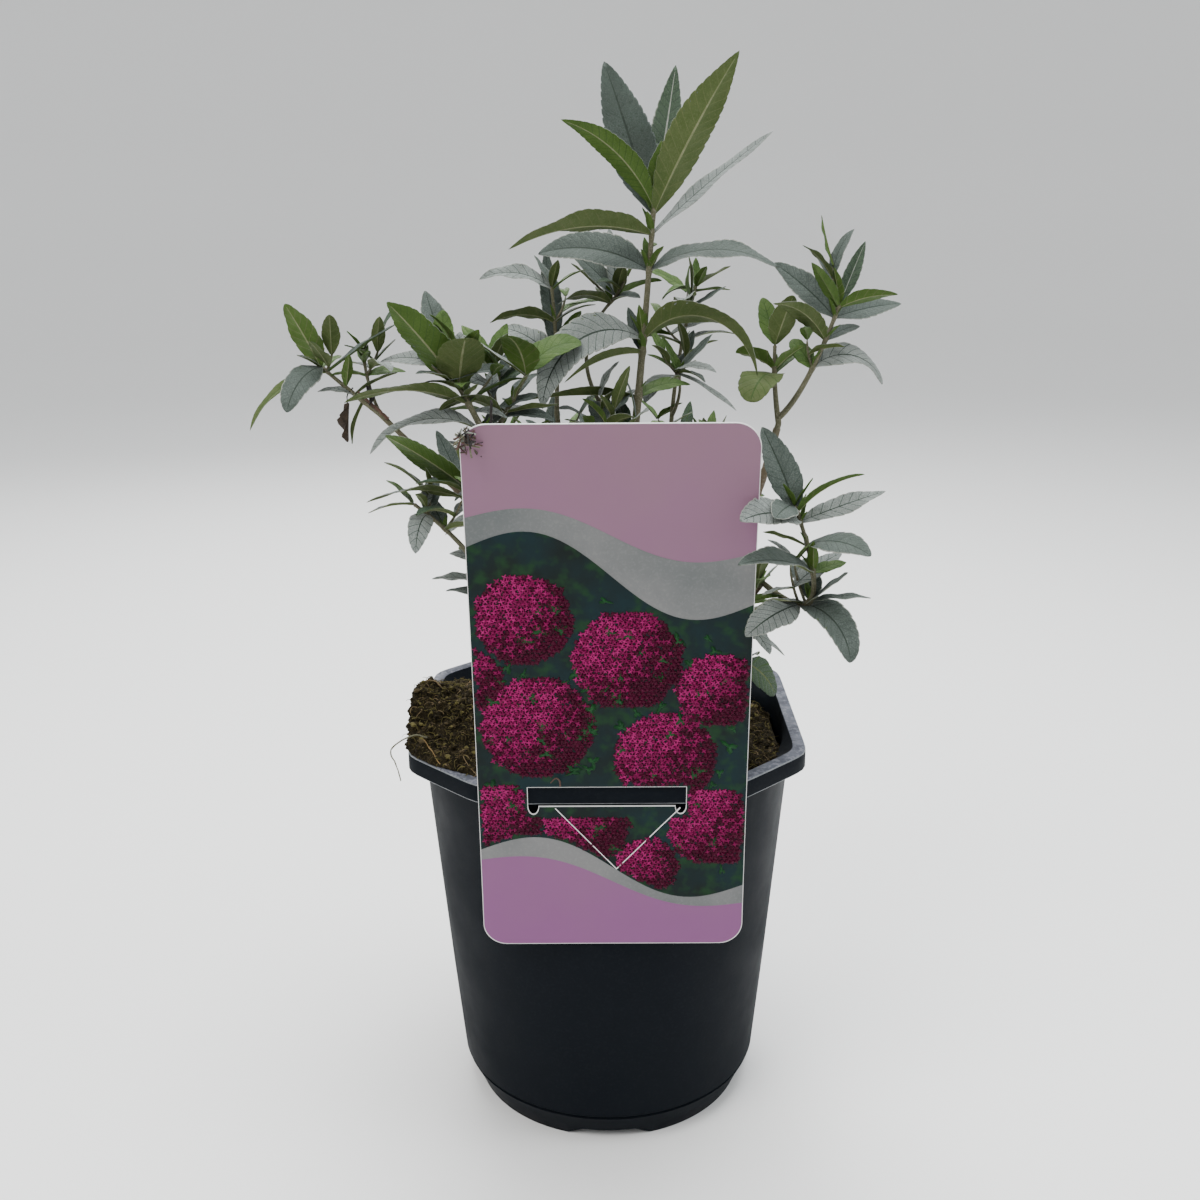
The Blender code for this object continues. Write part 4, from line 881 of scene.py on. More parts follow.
# The shrub grows by the rule of its solids, and the same seeds
growth = {
    "gap": 0.0003, "foot": (0.004, 0.007, 0.1763), "trunkTop": (0.0065, 0.0055, 0.214), "trunkRadius": (0.0062, 0.0048),
    "trunkShares": (0, 0.12, 0.3, 0.65, 1), "flare": 0.0034, "flareShare": 0.3, "boughSteps": 6, "twigSteps": 4,
    "tipGap": 0.0004, "leafThick": 0.016, "leafLeast": 0.00095, "petiole": 0.00062,
    "sections": ((0.4,), (0.36, 0.72), (0.28, 0.55, 0.8)), "longLeaf": 0.026, "muchArch": 45, "widest": 0.4,
    "roll": 28, "swell": 0.0006, "nudges": ((0, 0), (12, 4), (-12, 4), (24, -8), (-24, -8), (38, 8), (-38, 8)),
}

# Boughs: parent, share of the parent's length where it leaves, a middle point that
# bends it, its end, and the radii at its two ends.
boughTable = {
    "leader_bough": ("trunk", 0.80, (0.006, 0.006, 0.262), (0.0115, 0.001, 0.300), 0.0036, 0.0025),
    "left_bough": ("trunk", 0.62, (-0.022, 0.000, 0.226), (-0.046, -0.027, 0.304), 0.0033, 0.0021),
    "far_left_bough": ("left_bough", 0.42, (-0.052, -0.012, 0.274), (-0.092, -0.02, 0.320), 0.0021, 0.0015),
    "lower_left_bough": ("left_bough", 0.22, (-0.03, -0.026, 0.228), (-0.054, -0.044, 0.264), 0.0019, 0.0013),
    "low_left_bough": ("trunk", 0.38, (-0.018, -0.014, 0.200), (-0.038, -0.036, 0.224), 0.0018, 0.0012),
    "centre_bough": ("leader_bough", 0.30, (0.001, 0.018, 0.272), (0.000, 0.025, 0.314), 0.0019, 0.0013),
    "back_centre_bough": ("leader_bough", 0.14, (-0.01, 0.011, 0.264), (-0.021, 0.014, 0.314), 0.002, 0.0014),
    "middle_bough": ("leader_bough", 0.45, (0.006, -0.009, 0.278), (0.002, -0.013, 0.298), 0.0015, 0.0011),
    "right_bough": ("trunk", 0.60, (0.044, 0.006, 0.226), (0.073, -0.010, 0.313), 0.0031, 0.0021),
    "right_back_bough": ("right_bough", 0.25, (0.026, 0.026, 0.246), (0.03, 0.04, 0.302), 0.0019, 0.0014),
    "lower_right_bough": ("trunk", 0.45, (0.03, -0.032, 0.214), (0.06, -0.074, 0.262), 0.0026, 0.0017),
    "low_right_bough": ("lower_right_bough", 0.3, (0.036, -0.028, 0.214), (0.05, -0.046, 0.228), 0.0015, 0.0011),
    "back_bough": ("trunk", 0.58, (0.002, 0.036, 0.220), (-0.004, 0.066, 0.256), 0.0027, 0.0015),
    "back_left_bough": ("back_bough", 0.34, (-0.022, 0.036, 0.242), (-0.040, 0.052, 0.268), 0.0018, 0.0012),
    "back_right_bough": ("back_bough", 0.48, (0.020, 0.048, 0.242), (0.040, 0.058, 0.264), 0.0018, 0.0012),
    "inner_left_bough": ("left_bough", 0.52, (-0.028, 0.004, 0.264), (-0.026, 0.018, 0.280), 0.0014, 0.0010),
    "inner_right_bough": ("right_bough", 0.50, (0.048, 0.012, 0.262), (0.046, 0.018, 0.276), 0.0014, 0.0010),
}


def whorls(count, low, high, heading, length, rise, arch, broad=0.28, turn=90):
    rows = []  # opposite pairs up a twig, each turned from the one below: length, rise and arch are lowest, topmost
    for i in range(count):
        share = i / max(count - 1, 1)
        first = (heading + turn * i, *(a + (b - a) * share for a, b in (rise, length, arch)), broad)
        rows.append((low + (high - low) * share, first, opposite(first)))
    return rows


def opposite(leaf):
    return (leaf[0] + 180, leaf[1], leaf[2] * 0.94, *leaf[3:])


# Shoots. Each twig is a middle point, an end and two radii; the first goes on from the
# bough, the others branch from it at a share of its length. Leaf rows are a share of the
# twig's length and one leaf or two, as heading, rise, length, arch, breadth and roll:
# headings are degrees from +X toward +Y, rise is degrees over the level at the leaf's
# root, arch is how far the leaf bends down by its tip, breadth is a share of its length,
# and roll is its turn about the midrib, which follows the seed where it isn't given.
shootTable = {
    "leader_foliage": ("leader_bough", [
        (0, (0.0165, 0.000, 0.350), (0.0207, 0.000, 0.404), 0.0024, 0.0012, [
            (0.25, (200, 8, 0.052, 16, 0.2, 25), (20, 35, 0.026, 50, 0.34)),
            (0.43, (218, 5, 0.042, 40, 0.24, 30), (140, 68, 0.020, 0, 0.34, -30)),
            (0.48, (199, 28, 0.067, 118, 0.28, -40), (-29, 50, 0.068, 128, 0.24, -35)),
            (0.75, (165, 34, 0.050, 50, 0.36, -45), (-13, 36, 0.057, 66, 0.28, 25)),
            (0.89, (211, 24, 0.070, 56, 0.26, 35), (27, 38, 0.070, 6, 0.18, 15)),
            (0.965, (148, 71, 0.065, 4, 0.31, -52), (-26, 65, 0.071, 8, 0.26, -50)),
            (0.99, (217, 58, 0.058, 44, 0.26, 42), (46, 70, 0.063, -6, 0.22, 28)),
            (1.0, (125, 72, 0.022, 6, 0.3), (-60, 72, 0.024, 10, 0.3)),
        ]),
    ]),
    "centre_foliage": ("centre_bough", [
        (0, (-0.008, 0.025, 0.342), (0.0055, 0.025, 0.366), 0.0013, 0.0008, [
            (0.93, (214, 34, 0.030, 66, 0.3, 30), (30, 36, 0.028, 40, 0.3)),
            (0.96, (172, 4, 0.027, 30, 0.16), (-20, 34, 0.016, 40, 0.4)),
            (1.0, (112, 78, 0.030, 8, 0.3), (-75, 62, 0.020, 40, 0.34)),
            (1.0, (160, 62, 0.028, 18, 0.42, -40), (40, 66, 0.024, 10, 0.32, 20)),
        ]),
    ]),
    "back_centre_foliage": ("back_centre_bough", [
        (0, (-0.021, 0.013, 0.344), (-0.0225, 0.012, 0.371), 0.0014, 0.0008, [
            (0.42, (150, 54, 0.033, 50, 0.36, -30), (32, 54, 0.027, 6, 0.36, 30)),
            (0.50, (96, 84, 0.046, -4, 0.22, 0)),
            (0.74, (201, 30, 0.031, 54, 0.32, 30), (15, 40, 0.020, 40, 0.32)),
            (0.98, (184, 42, 0.033, 66, 0.28, -35), (-20, 44, 0.018, 30, 0.3)),
            (1.0, (140, 58, 0.016, 10, 0.32), (290, 60, 0.015, 20, 0.32)),
        ]),
    ]),
    "middle_foliage": ("middle_bough", [
        (0, (0.001, -0.014, 0.307), (0.001, -0.015, 0.316), 0.0011, 0.0008, [
            (0.4, (184, 26, 0.027, 30, 0.36, 25), (8, 42, 0.025, 46, 0.36, 20)),
            (0.85, (120, 42, 0.020, 20, 0.42), (-45, 48, 0.018, 50, 0.42)),
            (1.0, (172, 58, 0.015, 30, 0.42, 30), (10, 68, 0.014, 10, 0.42, -20)),
        ]),
    ]),
    "left_foliage": ("left_bough", [
        (0, (-0.052, -0.030, 0.320), (-0.0655, -0.030, 0.346), 0.0020, 0.0010, [
            (0.28, (228, 30, 0.052, 92, 0.28, -12), (48, 46, 0.028, 60, 0.36)),
            (0.55, (196, 30, 0.052, 50, 0.24, 25), (20, 40, 0.026, 40, 0.34)),
            (0.72, (216, 55, 0.047, 10, 0.36, 40), (-72, 66, 0.028, 34, 0.72, 0)),
            (0.9, (122, 60, 0.035, 6, 0.36, -20), (150, 18, 0.036, 34, 0.28, -30)),
            (1.0, (80, 76, 0.019, 4, 0.5), (250, 64, 0.016, 20, 0.4)),
        ]),
        (0.12, (-0.0435, -0.025, 0.3176), (-0.0319, -0.025, 0.3377), 0.0016, 0.0009, [
            (0.42, (196, 55, 0.030, 96, 0.44, 20), (14, 26, 0.022, 40, 0.36)),
            (0.66, (200, 66, 0.035, 112, 0.34, 20), (60, 40, 0.024, 40, 0.34)),
            (1.0, (252, 76, 0.025, 62, 0.62, 0), (50, 58, 0.028, 74, 0.62, 20)),
            (1.0, (168, 36, 0.033, 10, 0.14), (-32, 68, 0.026, 4, 0.16)),
        ]),
        (0.10, (-0.0455, -0.018, 0.321), (-0.0475, -0.010, 0.339), 0.0011, 0.0008, [
            (0.45, (172, 22, 0.024, 40, 0.34, 25), (-6, 34, 0.024, 50, 0.34, 25)),
            (0.75, (188, 40, 0.026, 50, 0.3, -30), (20, 46, 0.022, 30, 0.34, 30)),
            (1.0, (140, 50, 0.025, 20, 0.32, -25), (-40, 66, 0.018, 20, 0.4, -20)),
            (1.0, (70, 60, 0.022, 20, 0.34), (205, 56, 0.022, 40, 0.3, 30)),
        ]),
    ]),
    "far_left_foliage": ("far_left_bough", [
        (0, (-0.105, -0.020, 0.331), (-0.1165, -0.020, 0.341), 0.0014, 0.0008, [
            (0.35, (195, -56, 0.019, 30, 0.28)),
            (0.92, (205, -2, 0.042, 66, 0.17), (6, 36, 0.035, 6, 0.15)),
            (1.0, (200, 66, 0.029, 6, 0.44, 50), (245, 2, 0.030, 72, 0.44, -15)),
            (1.0, (60, 30, 0.014, 30, 0.3), (215, 38, 0.012, 20, 0.3)),
        ]),
        (0.06, (-0.098, -0.016, 0.333), (-0.1005, -0.012, 0.3475), 0.0009, 0.0007,
            whorls(3, 0.62, 1.0, 20, (0.017, 0.010), (24, 56), (40, 10), 0.34)),
    ]),
    "lower_left_foliage": ("lower_left_bough", [
        (0, (-0.063, -0.048, 0.277), (-0.077, -0.050, 0.290), 0.0013, 0.0008, [
            (0.55, (130, 52, 0.020, 30, 0.4), (-20, 22, 0.022, 30, 0.42)),
            (0.80, (262, 8, 0.024, 80, 0.4), (84, 56, 0.020, 30, 0.4)),
            (1.0, (212, 14, 0.020, 34, 0.3), (142, 44, 0.017, 30, 0.3)),
        ]),
        (0.10, (-0.053, -0.047, 0.285), (-0.0565, -0.050, 0.306), 0.0010, 0.0007, [
            (0.60, (193, 30, 0.044, 56, 0.24, 25), (35, 30, 0.026, 30, 0.34)),
            (0.72, (203, 46, 0.040, 12, 0.42, 50), (70, 40, 0.022, 30, 0.36)),
            (1.0, (118, 66, 0.017, 6, 0.4), (-30, 74, 0.014, 4, 0.5)),
        ]),
    ]),
    "low_left_foliage": ("low_left_bough", [
        (0, (-0.043, -0.040, 0.232), (-0.047, -0.044, 0.246), 0.0011, 0.0007, [
            (0.25, (195, 4, 0.018, 50, 0.34), (40, 24, 0.020, 30, 0.34)),
            (0.62, (110, 30, 0.020, 30, 0.34), (-65, 40, 0.020, 60, 0.34)),
            (1.0, (190, 48, 0.021, 60, 0.34), (20, 50, 0.018, 30, 0.34)),
        ]),
    ]),
    "right_foliage": ("right_bough", [
        (0, (0.0715, -0.010, 0.331), (0.071, -0.010, 0.348), 0.0017, 0.0009, [
            (0.66, (238, 14, 0.026, 74, 0.7, 0), (30, 46, 0.018, 30, 0.46)),
            (0.72, (176, 40, 0.018, 40, 0.64, 30), (-25, 48, 0.016, 20, 0.44)),
            (1.0, (122, 66, 0.021, 10, 0.46, -20), (-50, 66, 0.023, 10, 0.48, -30)),
        ]),
        (0.14, (0.085, -0.010, 0.334), (0.0975, -0.010, 0.365), 0.0016, 0.0009, [
            (0.47, (5, 44, 0.037, 74, 0.36, 30), (158, 56, 0.015, 20, 0.7, -30)),
            (0.70, (204, 52, 0.036, 54, 0.28, 30), (30, 30, 0.020, 30, 0.34)),
            (0.88, (36, 20, 0.038, 10, 0.28, 45), (165, 50, 0.034, 16, 0.38, -55)),
            (0.96, (-19, 40, 0.034, 32, 0.3, -45), (236, 58, 0.031, 12, 0.32, 25)),
            (1.0, (48, 60, 0.034, 0, 0.28, 35), (220, 64, 0.016, 10, 0.34)),
        ]),
    ]),
    "right_back_foliage": ("right_back_bough", [
        (0, (0.034, 0.040, 0.338), (0.0413, 0.040, 0.369), 0.0014, 0.0008, [
            (0.62, (190, 30, 0.021, 40, 0.34), (10, 34, 0.026, 50, 0.24)),
            (0.80, (100, 30, 0.022, 40, 0.34), (-80, 30, 0.018, 60, 0.4)),
            (0.97, (186, 30, 0.017, 90, 0.4), (0, 10, 0.016, 20, 0.34)),
            (1.0, (95, 74, 0.013, 4, 0.34), (-70, 50, 0.014, 20, 0.34)),
        ]),
        (0.14, (0.0335, 0.030, 0.322), (0.0325, 0.019, 0.3335), 0.0011, 0.0007, [
            (0.90, (250, 18, 0.026, 64, 0.46), (70, 50, 0.018, 30, 0.3)),
            (0.96, (-24, -16, 0.031, 26, 0.13), (150, 40, 0.018, 30, 0.3)),
            (1.0, (0, 52, 0.022, 6, 0.27), (140, 66, 0.018, 20, 0.27)),
            (1.0, (-34, 12, 0.015, 56, 0.5)),
        ]),
    ]),
    "lower_right_foliage": ("lower_right_bough", [
        (0, (0.0775, -0.092, 0.262), (0.0705, -0.088, 0.297), 0.0015, 0.0009, [
            (0.33, (228, 8, 0.037, 24, 0.36, -25), (-44, 12, 0.034, 96, 0.5, 10)),
            (0.38, (-42, 44, 0.023, 4, 0.42), (196, 12, 0.024, 70, 0.46)),
            (0.42, (-18, 20, 0.023, 26, 0.24), (60, 46, 0.017, 10, 0.56)),
            (0.60, (196, 24, 0.016, 30, 0.4), (22, 20, 0.015, 20, 0.4)),
            (0.76, (-35, 26, 0.027, 56, 0.48, 20), (150, 22, 0.018, 20, 0.48)),
            (0.90, (231, 12, 0.036, 34, 0.4, -30), (12, 18, 0.034, 4, 0.28, 35)),
            (0.96, (152, 68, 0.034, 10, 0.38, -50), (2, 52, 0.029, 46, 0.24, -30)),
            (1.0, (30, 66, 0.012, 4, 0.26), (200, 60, 0.012, 4, 0.3)),
        ]),
    ]),
    "low_right_foliage": ("low_right_bough", [
        (0, (0.054, -0.050, 0.237), (0.057, -0.053, 0.246), 0.0010, 0.0007, [
            (0.30, (-4, 10, 0.024, 60, 0.4), (170, 20, 0.020, 30, 0.34)),
            (0.62, (-62, 14, 0.026, 56, 0.4), (110, 30, 0.022, 30, 0.34)),
            (1.0, (200, 46, 0.018, 30, 0.34), (30, 62, 0.018, 10, 0.34)),
        ]),
        (0.30, (0.0575, -0.039, 0.224), (0.060, -0.027, 0.214), 0.0009, 0.0007, [
            (1.0, (20, -26, 0.024, 40, 0.6), (70, 10, 0.020, 40, 0.34)),
        ]),
    ]),
    "back_left_foliage": ("back_left_bough", [
        (0, (-0.045, 0.058, 0.280), (-0.049, 0.064, 0.296), 0.0013, 0.0008,
            whorls(5, 0.1, 1.0, 20, (0.044, 0.018), (0, 56), (44, 8), 0.3)),
        (0.08, (-0.054, 0.046, 0.268), (-0.064, 0.042, 0.272), 0.0009, 0.0007,
            whorls(3, 0.4, 1.0, 100, (0.028, 0.016), (10, 50), (50, 10), 0.32)),
    ]),
    "back_right_foliage": ("back_right_bough", [
        (0, (0.045, 0.064, 0.277), (0.050, 0.071, 0.293), 0.0013, 0.0008,
            whorls(5, 0.1, 1.0, 70, (0.044, 0.018), (0, 56), (44, 8), 0.3)),
        (0.08, (0.053, 0.052, 0.264), (0.063, 0.046, 0.268), 0.0009, 0.0007,
            whorls(3, 0.4, 1.0, 10, (0.026, 0.016), (10, 50), (50, 10), 0.32)),
    ]),
    "back_foliage": ("back_bough", [
        (0, (-0.006, 0.078, 0.270), (-0.006, 0.086, 0.288), 0.0014, 0.0008,
            whorls(6, 0.1, 1.0, 0, (0.046, 0.018), (-4, 56), (44, 8), 0.29)),
        (0.06, (-0.010, 0.076, 0.250), (-0.016, 0.090, 0.247), 0.0009, 0.0007,
            whorls(3, 0.5, 1.0, 40, (0.028, 0.016), (0, 40), (60, 10), 0.32)),
    ]),
    "inner_left_foliage": ("inner_left_bough", [
        (0, (-0.026, 0.024, 0.287), (-0.028, 0.030, 0.297), 0.0010, 0.0007,
            whorls(4, 0.2, 1.0, 60, (0.034, 0.016), (6, 50), (46, 10), 0.3)),
    ]),
    "inner_right_foliage": ("inner_right_bough", [
        (0, (0.045, 0.022, 0.283), (0.046, 0.028, 0.293), 0.0010, 0.0007,
            whorls(4, 0.2, 1.0, 130, (0.032, 0.016), (6, 50), (46, 10), 0.3)),
    ]),
}


def curvePoints(a, b, c, count):  # through a, near b, to c
    a, b, c = Vector(a), Vector(b), Vector(c)
    pull = b * 2 - (a + c) / 2
    return [a.lerp(pull, i / count).lerp(pull.lerp(c, i / count), i / count) for i in range(count + 1)]


def atShare(points, share):  # the point at a share of a line's length
    lengths = [(b - a).length for a, b in zip(points, points[1:])]
    left = share * sum(lengths)
    for a, b, length in zip(points, points[1:], lengths):
        if left <= length:
            return a.lerp(b, left / length)
        left -= length
    return points[-1].copy()


def limbRadii(count, low, high):
    return [low + (high - low) * i / count for i in range(count + 1)]


def trunkLine(shares):
    foot, top = Vector(growth["foot"]), Vector(growth["trunkTop"])
    return [Vector((*foot.lerp(top, share ** 2).xy, foot.lerp(top, share).z)) for share in shares]


def trunkRadii(shares):
    low, high = growth["trunkRadius"]
    flare = growth["flareShare"]
    return [low + (high - low) * share + growth["flare"] * max(0, 1 - share / flare) ** 2 for share in shares]


def leafLine(root, leaf, steps):
    heading, rise, length, arch = leaf[:4]
    turn = math.radians(heading)
    points, ways = [Vector(root)], []
    for i in range(steps):
        slope = math.radians(rise - arch * (i + 0.5) / steps)
        way = Vector((math.cos(slope) * math.cos(turn), math.cos(slope) * math.sin(turn), math.sin(slope)))
        ways.append(way)
        points.append(points[-1] + way * length / steps)
    return points, ways + [ways[-1]]


def halfWidth(share, leaf, fine=False):  # a lance, widest below its middle
    full = leaf[2] * leaf[4] / 2
    if share < growth["widest"]:
        return growth["petiole"] + (full - growth["petiole"]) * math.sin(math.pi / 2 * share / growth["widest"])
    blunt = 0.9 if not fine else max(0.42, 0.80 - 1.1 * max(leaf[4] - 0.27, 0))  # broad leaves end more bluntly
    return full * max(math.cos(math.pi / 2 * (share - growth["widest"]) / (1 - growth["widest"])), 0) ** blunt


def solidLeaf(root, leaf, start=0.0, swell=0.0):  # the leaf as its solid has it, to test for room
    fine = 12
    points, ways = leafLine(root, leaf, fine)
    isLong = leaf[2] > growth["longLeaf"]
    shares = [start, *growth["sections"][isLong + (isLong and leaf[3] > growth["muchArch"])]]
    thick = max(growth["leafLeast"], growth["leafThick"] * leaf[2]) / 2
    verts = []
    for share in shares:
        place = atShare(points, share)
        way = ways[min(int(share * fine), fine)]
        level = Vector((-math.sin(math.radians(leaf[0])), math.cos(math.radians(leaf[0])), 0))
        side = Matrix.Rotation(math.radians(leaf[5]), 3, way) @ level
        up = way.cross(side)
        wide = halfWidth(share, leaf) + swell
        half = (growth["petiole"] if share == 0 else thick) + swell
        verts += [place + side * wide + up * half, place - side * wide + up * half, place - up * half]
    verts.append(points[-1] + ways[-1] * swell)
    last = len(verts) - 4
    faces = [(0, 1, 2)]
    for low in range(0, last, 3):
        faces += [(low + i, low + 3 + i, low + 3 + (i + 1) % 3, low + (i + 1) % 3) for i in range(3)]
    faces += [(last + i, last + 3, last + (i + 1) % 3) for i in range(3)]
    return verts, faces


def crossesLimb(tree, limbs):
    for line, radii in limbs:
        for i in range(len(line) - 1):
            for step in range(6):
                if tree.find_nearest(line[i].lerp(line[i + 1], step / 6), radii[i] + growth["swell"])[0]:
                    return True
    return False


def clearLeaf(root, leaf, fixed, limbs, others, own):
    for turn, lift in growth["nudges"]:
        tried = (leaf[0] + turn, leaf[1] + lift, *leaf[2:])
        blade = BVHTree.FromPolygons(*solidLeaf(root, tried, 0.0, growth["swell"]))
        outer = BVHTree.FromPolygons(*solidLeaf(root, tried, 0.22, growth["swell"] / 3))
        if any(blade.overlap(tree) for tree in fixed + others):
            continue
        if any(outer.overlap(tree) for tree in own) or crossesLimb(blade, limbs):
            continue
        return tried, outer
    return None


def growLimbs():  # plain lines for the rule, fine lines for the bark
    shares = growth["trunkShares"]
    fineShares = [i / 30 for i in range(31)]
    lines = {"trunk": trunkLine(shares)}
    limbs = [(lines["trunk"], trunkRadii(shares))]
    fine = [(trunkLine(fineShares), trunkRadii(fineShares))]
    for name, (parent, share, bend, end, thick, thin) in boughTable.items():
        start = atShare(lines[parent], share)
        lines[name] = curvePoints(start, bend, end, growth["boughSteps"])
        limbs.append((lines[name], limbRadii(growth["boughSteps"], thick, thin)))
        fine.append((curvePoints(start, bend, end, 24), limbRadii(24, thick, thin)))
    return lines, limbs, fine


def growTwigs(lines):  # each shoot: plain line, radii, rows of leaves, fine line
    twigs = {}
    steps = growth["twigSteps"]
    for name, (bough, rows) in shootTable.items():
        line = lines[bough]
        way = (line[-1] - line[-2]).normalized()
        stem = fineStem = None
        twigs[name] = []
        for share, bend, end, thick, thin, leaves in rows:
            if stem is None:
                start = line[-1] + way * growth["tipGap"]
                path = stem = [start] + curvePoints(start + way * thick, bend, end, steps - 1)
                fine = fineStem = [start - way * 0.0012] + curvePoints(start + way * thick, bend, end, 18)
            else:
                path = curvePoints(atShare(stem, share), bend, end, steps)
                fine = curvePoints(atShare(fineStem, share), bend, end, 18)
            twigs[name].append((path, limbRadii(steps, thick, thin), leaves, fine))
    return twigs


def growLeaves(twigs, limbs, fixed):  # each shoot's leaves where they have room: root, leaf, twig, share
    grown, others = {}, []
    for name, own in twigs.items():
        rng = random.Random(name)
        foreign = limbs + [twig[:2] for other, near in twigs.items() if other != name for twig in near]
        outers, blades = [], []
        grown[name] = []
        for index, (path, _, rows, fine) in enumerate(own):
            for share, *leaves in rows:
                for leaf in leaves:
                    loose = rng.uniform(-growth["roll"], growth["roll"])
                    turned = (leaf[0] + loose / 9, leaf[1] - loose / 14, *leaf[2:5], *(leaf[5:] or (loose,)))
                    found = clearLeaf(atShare(path, share), turned, fixed, foreign, others, outers)
                    grown[name].append((atShare(fine, share), found and found[0], index, share))
                    if found:
                        outers.append(found[1])
                        blades.append(BVHTree.FromPolygons(*solidLeaf(atShare(path, share), found[0])))
        others += blades
    return grown


limbLines, solidLimbs, fineLimbs = growLimbs()
twigTable = growTwigs(limbLines)
leafTable = growLeaves(twigTable, solidLimbs, [treeOf(nodes[name].data) for name in ("pot", "compost", "label")])
print("growth:", sum(1 for rows in leafTable.values() for row in rows if row[1]), "leaves by the rule")


# Effects for the plant
def makeNet():  # fine net of veins: darker lines, sunk a little
    group, start, end = effectGroup(
        "veinNet",
        [("Colour", "NodeSocketColor", (0.5, 0.5, 0.5, 1)), ("Line Colour", "NodeSocketColor", (0, 0, 0, 1)),
         ("Height", "NodeSocketFloat", 0.0), ("Cell Scale", "NodeSocketFloat", 800.0),
         ("Line Width", "NodeSocketFloat", 0.1), ("Line Share", "NodeSocketFloat", 0.5)],
        [("Colour", "NodeSocketColor"), ("Height", "NodeSocketFloat")])
    place = group.nodes.new("ShaderNodeTexCoord").outputs["Object"]
    cells = noiseNode(group, place, start.outputs["Cell Scale"], kind="ShaderNodeTexVoronoi")
    cells.feature = "DISTANCE_TO_EDGE"
    ratio = mathNode(group, "DIVIDE", cells.outputs["Distance"], start.outputs["Line Width"])
    line = stepNode(group, ratio, 0.3, 1.0, 1.0, 0.0)
    mask = mathNode(group, "MULTIPLY", line, start.outputs["Line Share"])
    group.links.new(mixNode(group, mask, start.outputs["Colour"], start.outputs["Line Colour"]), end.inputs["Colour"])
    group.links.new(mathNode(group, "SUBTRACT", start.outputs["Height"], line), end.inputs["Height"])
    return group


def makeAge():  # young green wood above, old bark below
    group, start, end = effectGroup(
        "woodAge",
        [("Old Colour", "NodeSocketColor", (0.1, 0.06, 0.03, 1)), ("Young Colour", "NodeSocketColor", (0.2, 0.2, 0.1, 1)),
         ("Low", "NodeSocketFloat", 0.25), ("High", "NodeSocketFloat", 0.3)],
        [("Colour", "NodeSocketColor")])
    place = group.nodes.new("ShaderNodeTexCoord").outputs["Object"]
    split = group.nodes.new("ShaderNodeSeparateXYZ")
    group.links.new(place, split.inputs[0])
    cloud = noiseNode(group, place, 140.0, 4.0).outputs["Fac"]
    height = mathNode(group, "ADD", split.outputs["Z"], mathNode(group, "MULTIPLY",
                                                                  mathNode(group, "SUBTRACT", cloud, 0.5), 0.05))
    blend = group.nodes.new("ShaderNodeMapRange")
    for socket, source in (("Value", height), ("From Min", start.outputs["Low"]), ("From Max", start.outputs["High"])):
        group.links.new(source, blend.inputs[socket])
    group.links.new(mixNode(group, blend.outputs["Result"], start.outputs["Old Colour"], start.outputs["Young Colour"]),
                    end.inputs["Colour"])
    return group


veinNet = makeNet()
woodAge = makeAge()


def leafFinish(name, values):  # a mottled finish with the net of veins laid over it
    made = finishOf(name, values)
    tree = made.node_tree
    net = tree.nodes.new("ShaderNodeGroup")
    net.node_tree = veinNet
    net.inputs["Line Colour"].default_value = (*values["Line Colour"], 1)
    for socket in ("Cell Scale", "Line Width", "Line Share"):
        if socket in values:
            net.inputs[socket].default_value = values[socket]
    effect = next(node for node in tree.nodes if node.type == "GROUP" and node.node_tree == mottle)
    bump = next(node for node in tree.nodes if node.type == "BUMP")
    tree.links.new(effect.outputs["Colour"], net.inputs["Colour"])
    tree.links.new(effect.outputs["Height"], net.inputs["Height"])
    tree.links.new(net.outputs["Colour"], tree.nodes["Principled BSDF"].inputs["Base Color"])
    tree.links.new(net.outputs["Height"], bump.inputs["Height"])
    return made


# Wood: stem and boughs in one skin with the bark's relief
woodLook = {"voxel": 0.000475, "sides": 18, "relief": 0.00042, "ridges": 520.0, "stretch": 5.5, "fine": 0.00012,
            "collar": 0.35, "slim": 0.8}
barkLook = {
    "Colour": (0.052, 0.030, 0.016), "Second Colour": (0.085, 0.056, 0.033), "Speck Colour": (0.15, 0.12, 0.085),
    "Patch Scale": 150.0, "Speck Scale": 900.0, "Speck Share": 0.55, "Rough Low": 0.75, "Rough High": 0.95,
    "bump": 0.6, "bumpDistance": 0.0003, "young": (0.085, 0.082, 0.046), "low": 0.27, "high": 0.335,
}


def barkFinish(name, values):
    made = finishOf(name, values)
    tree = made.node_tree
    age = tree.nodes.new("ShaderNodeGroup")
    age.node_tree = woodAge
    effect = next(node for node in tree.nodes if node.type == "GROUP" and node.node_tree == mottle)
    tree.links.new(effect.outputs["Colour"], age.inputs["Old Colour"])
    age.inputs["Young Colour"].default_value = (*values["young"], 1)
    age.inputs["Low"].default_value = values["low"]
    age.inputs["High"].default_value = values["high"]
    tree.links.new(age.outputs["Colour"], tree.nodes["Principled BSDF"].inputs["Base Color"])
    return made


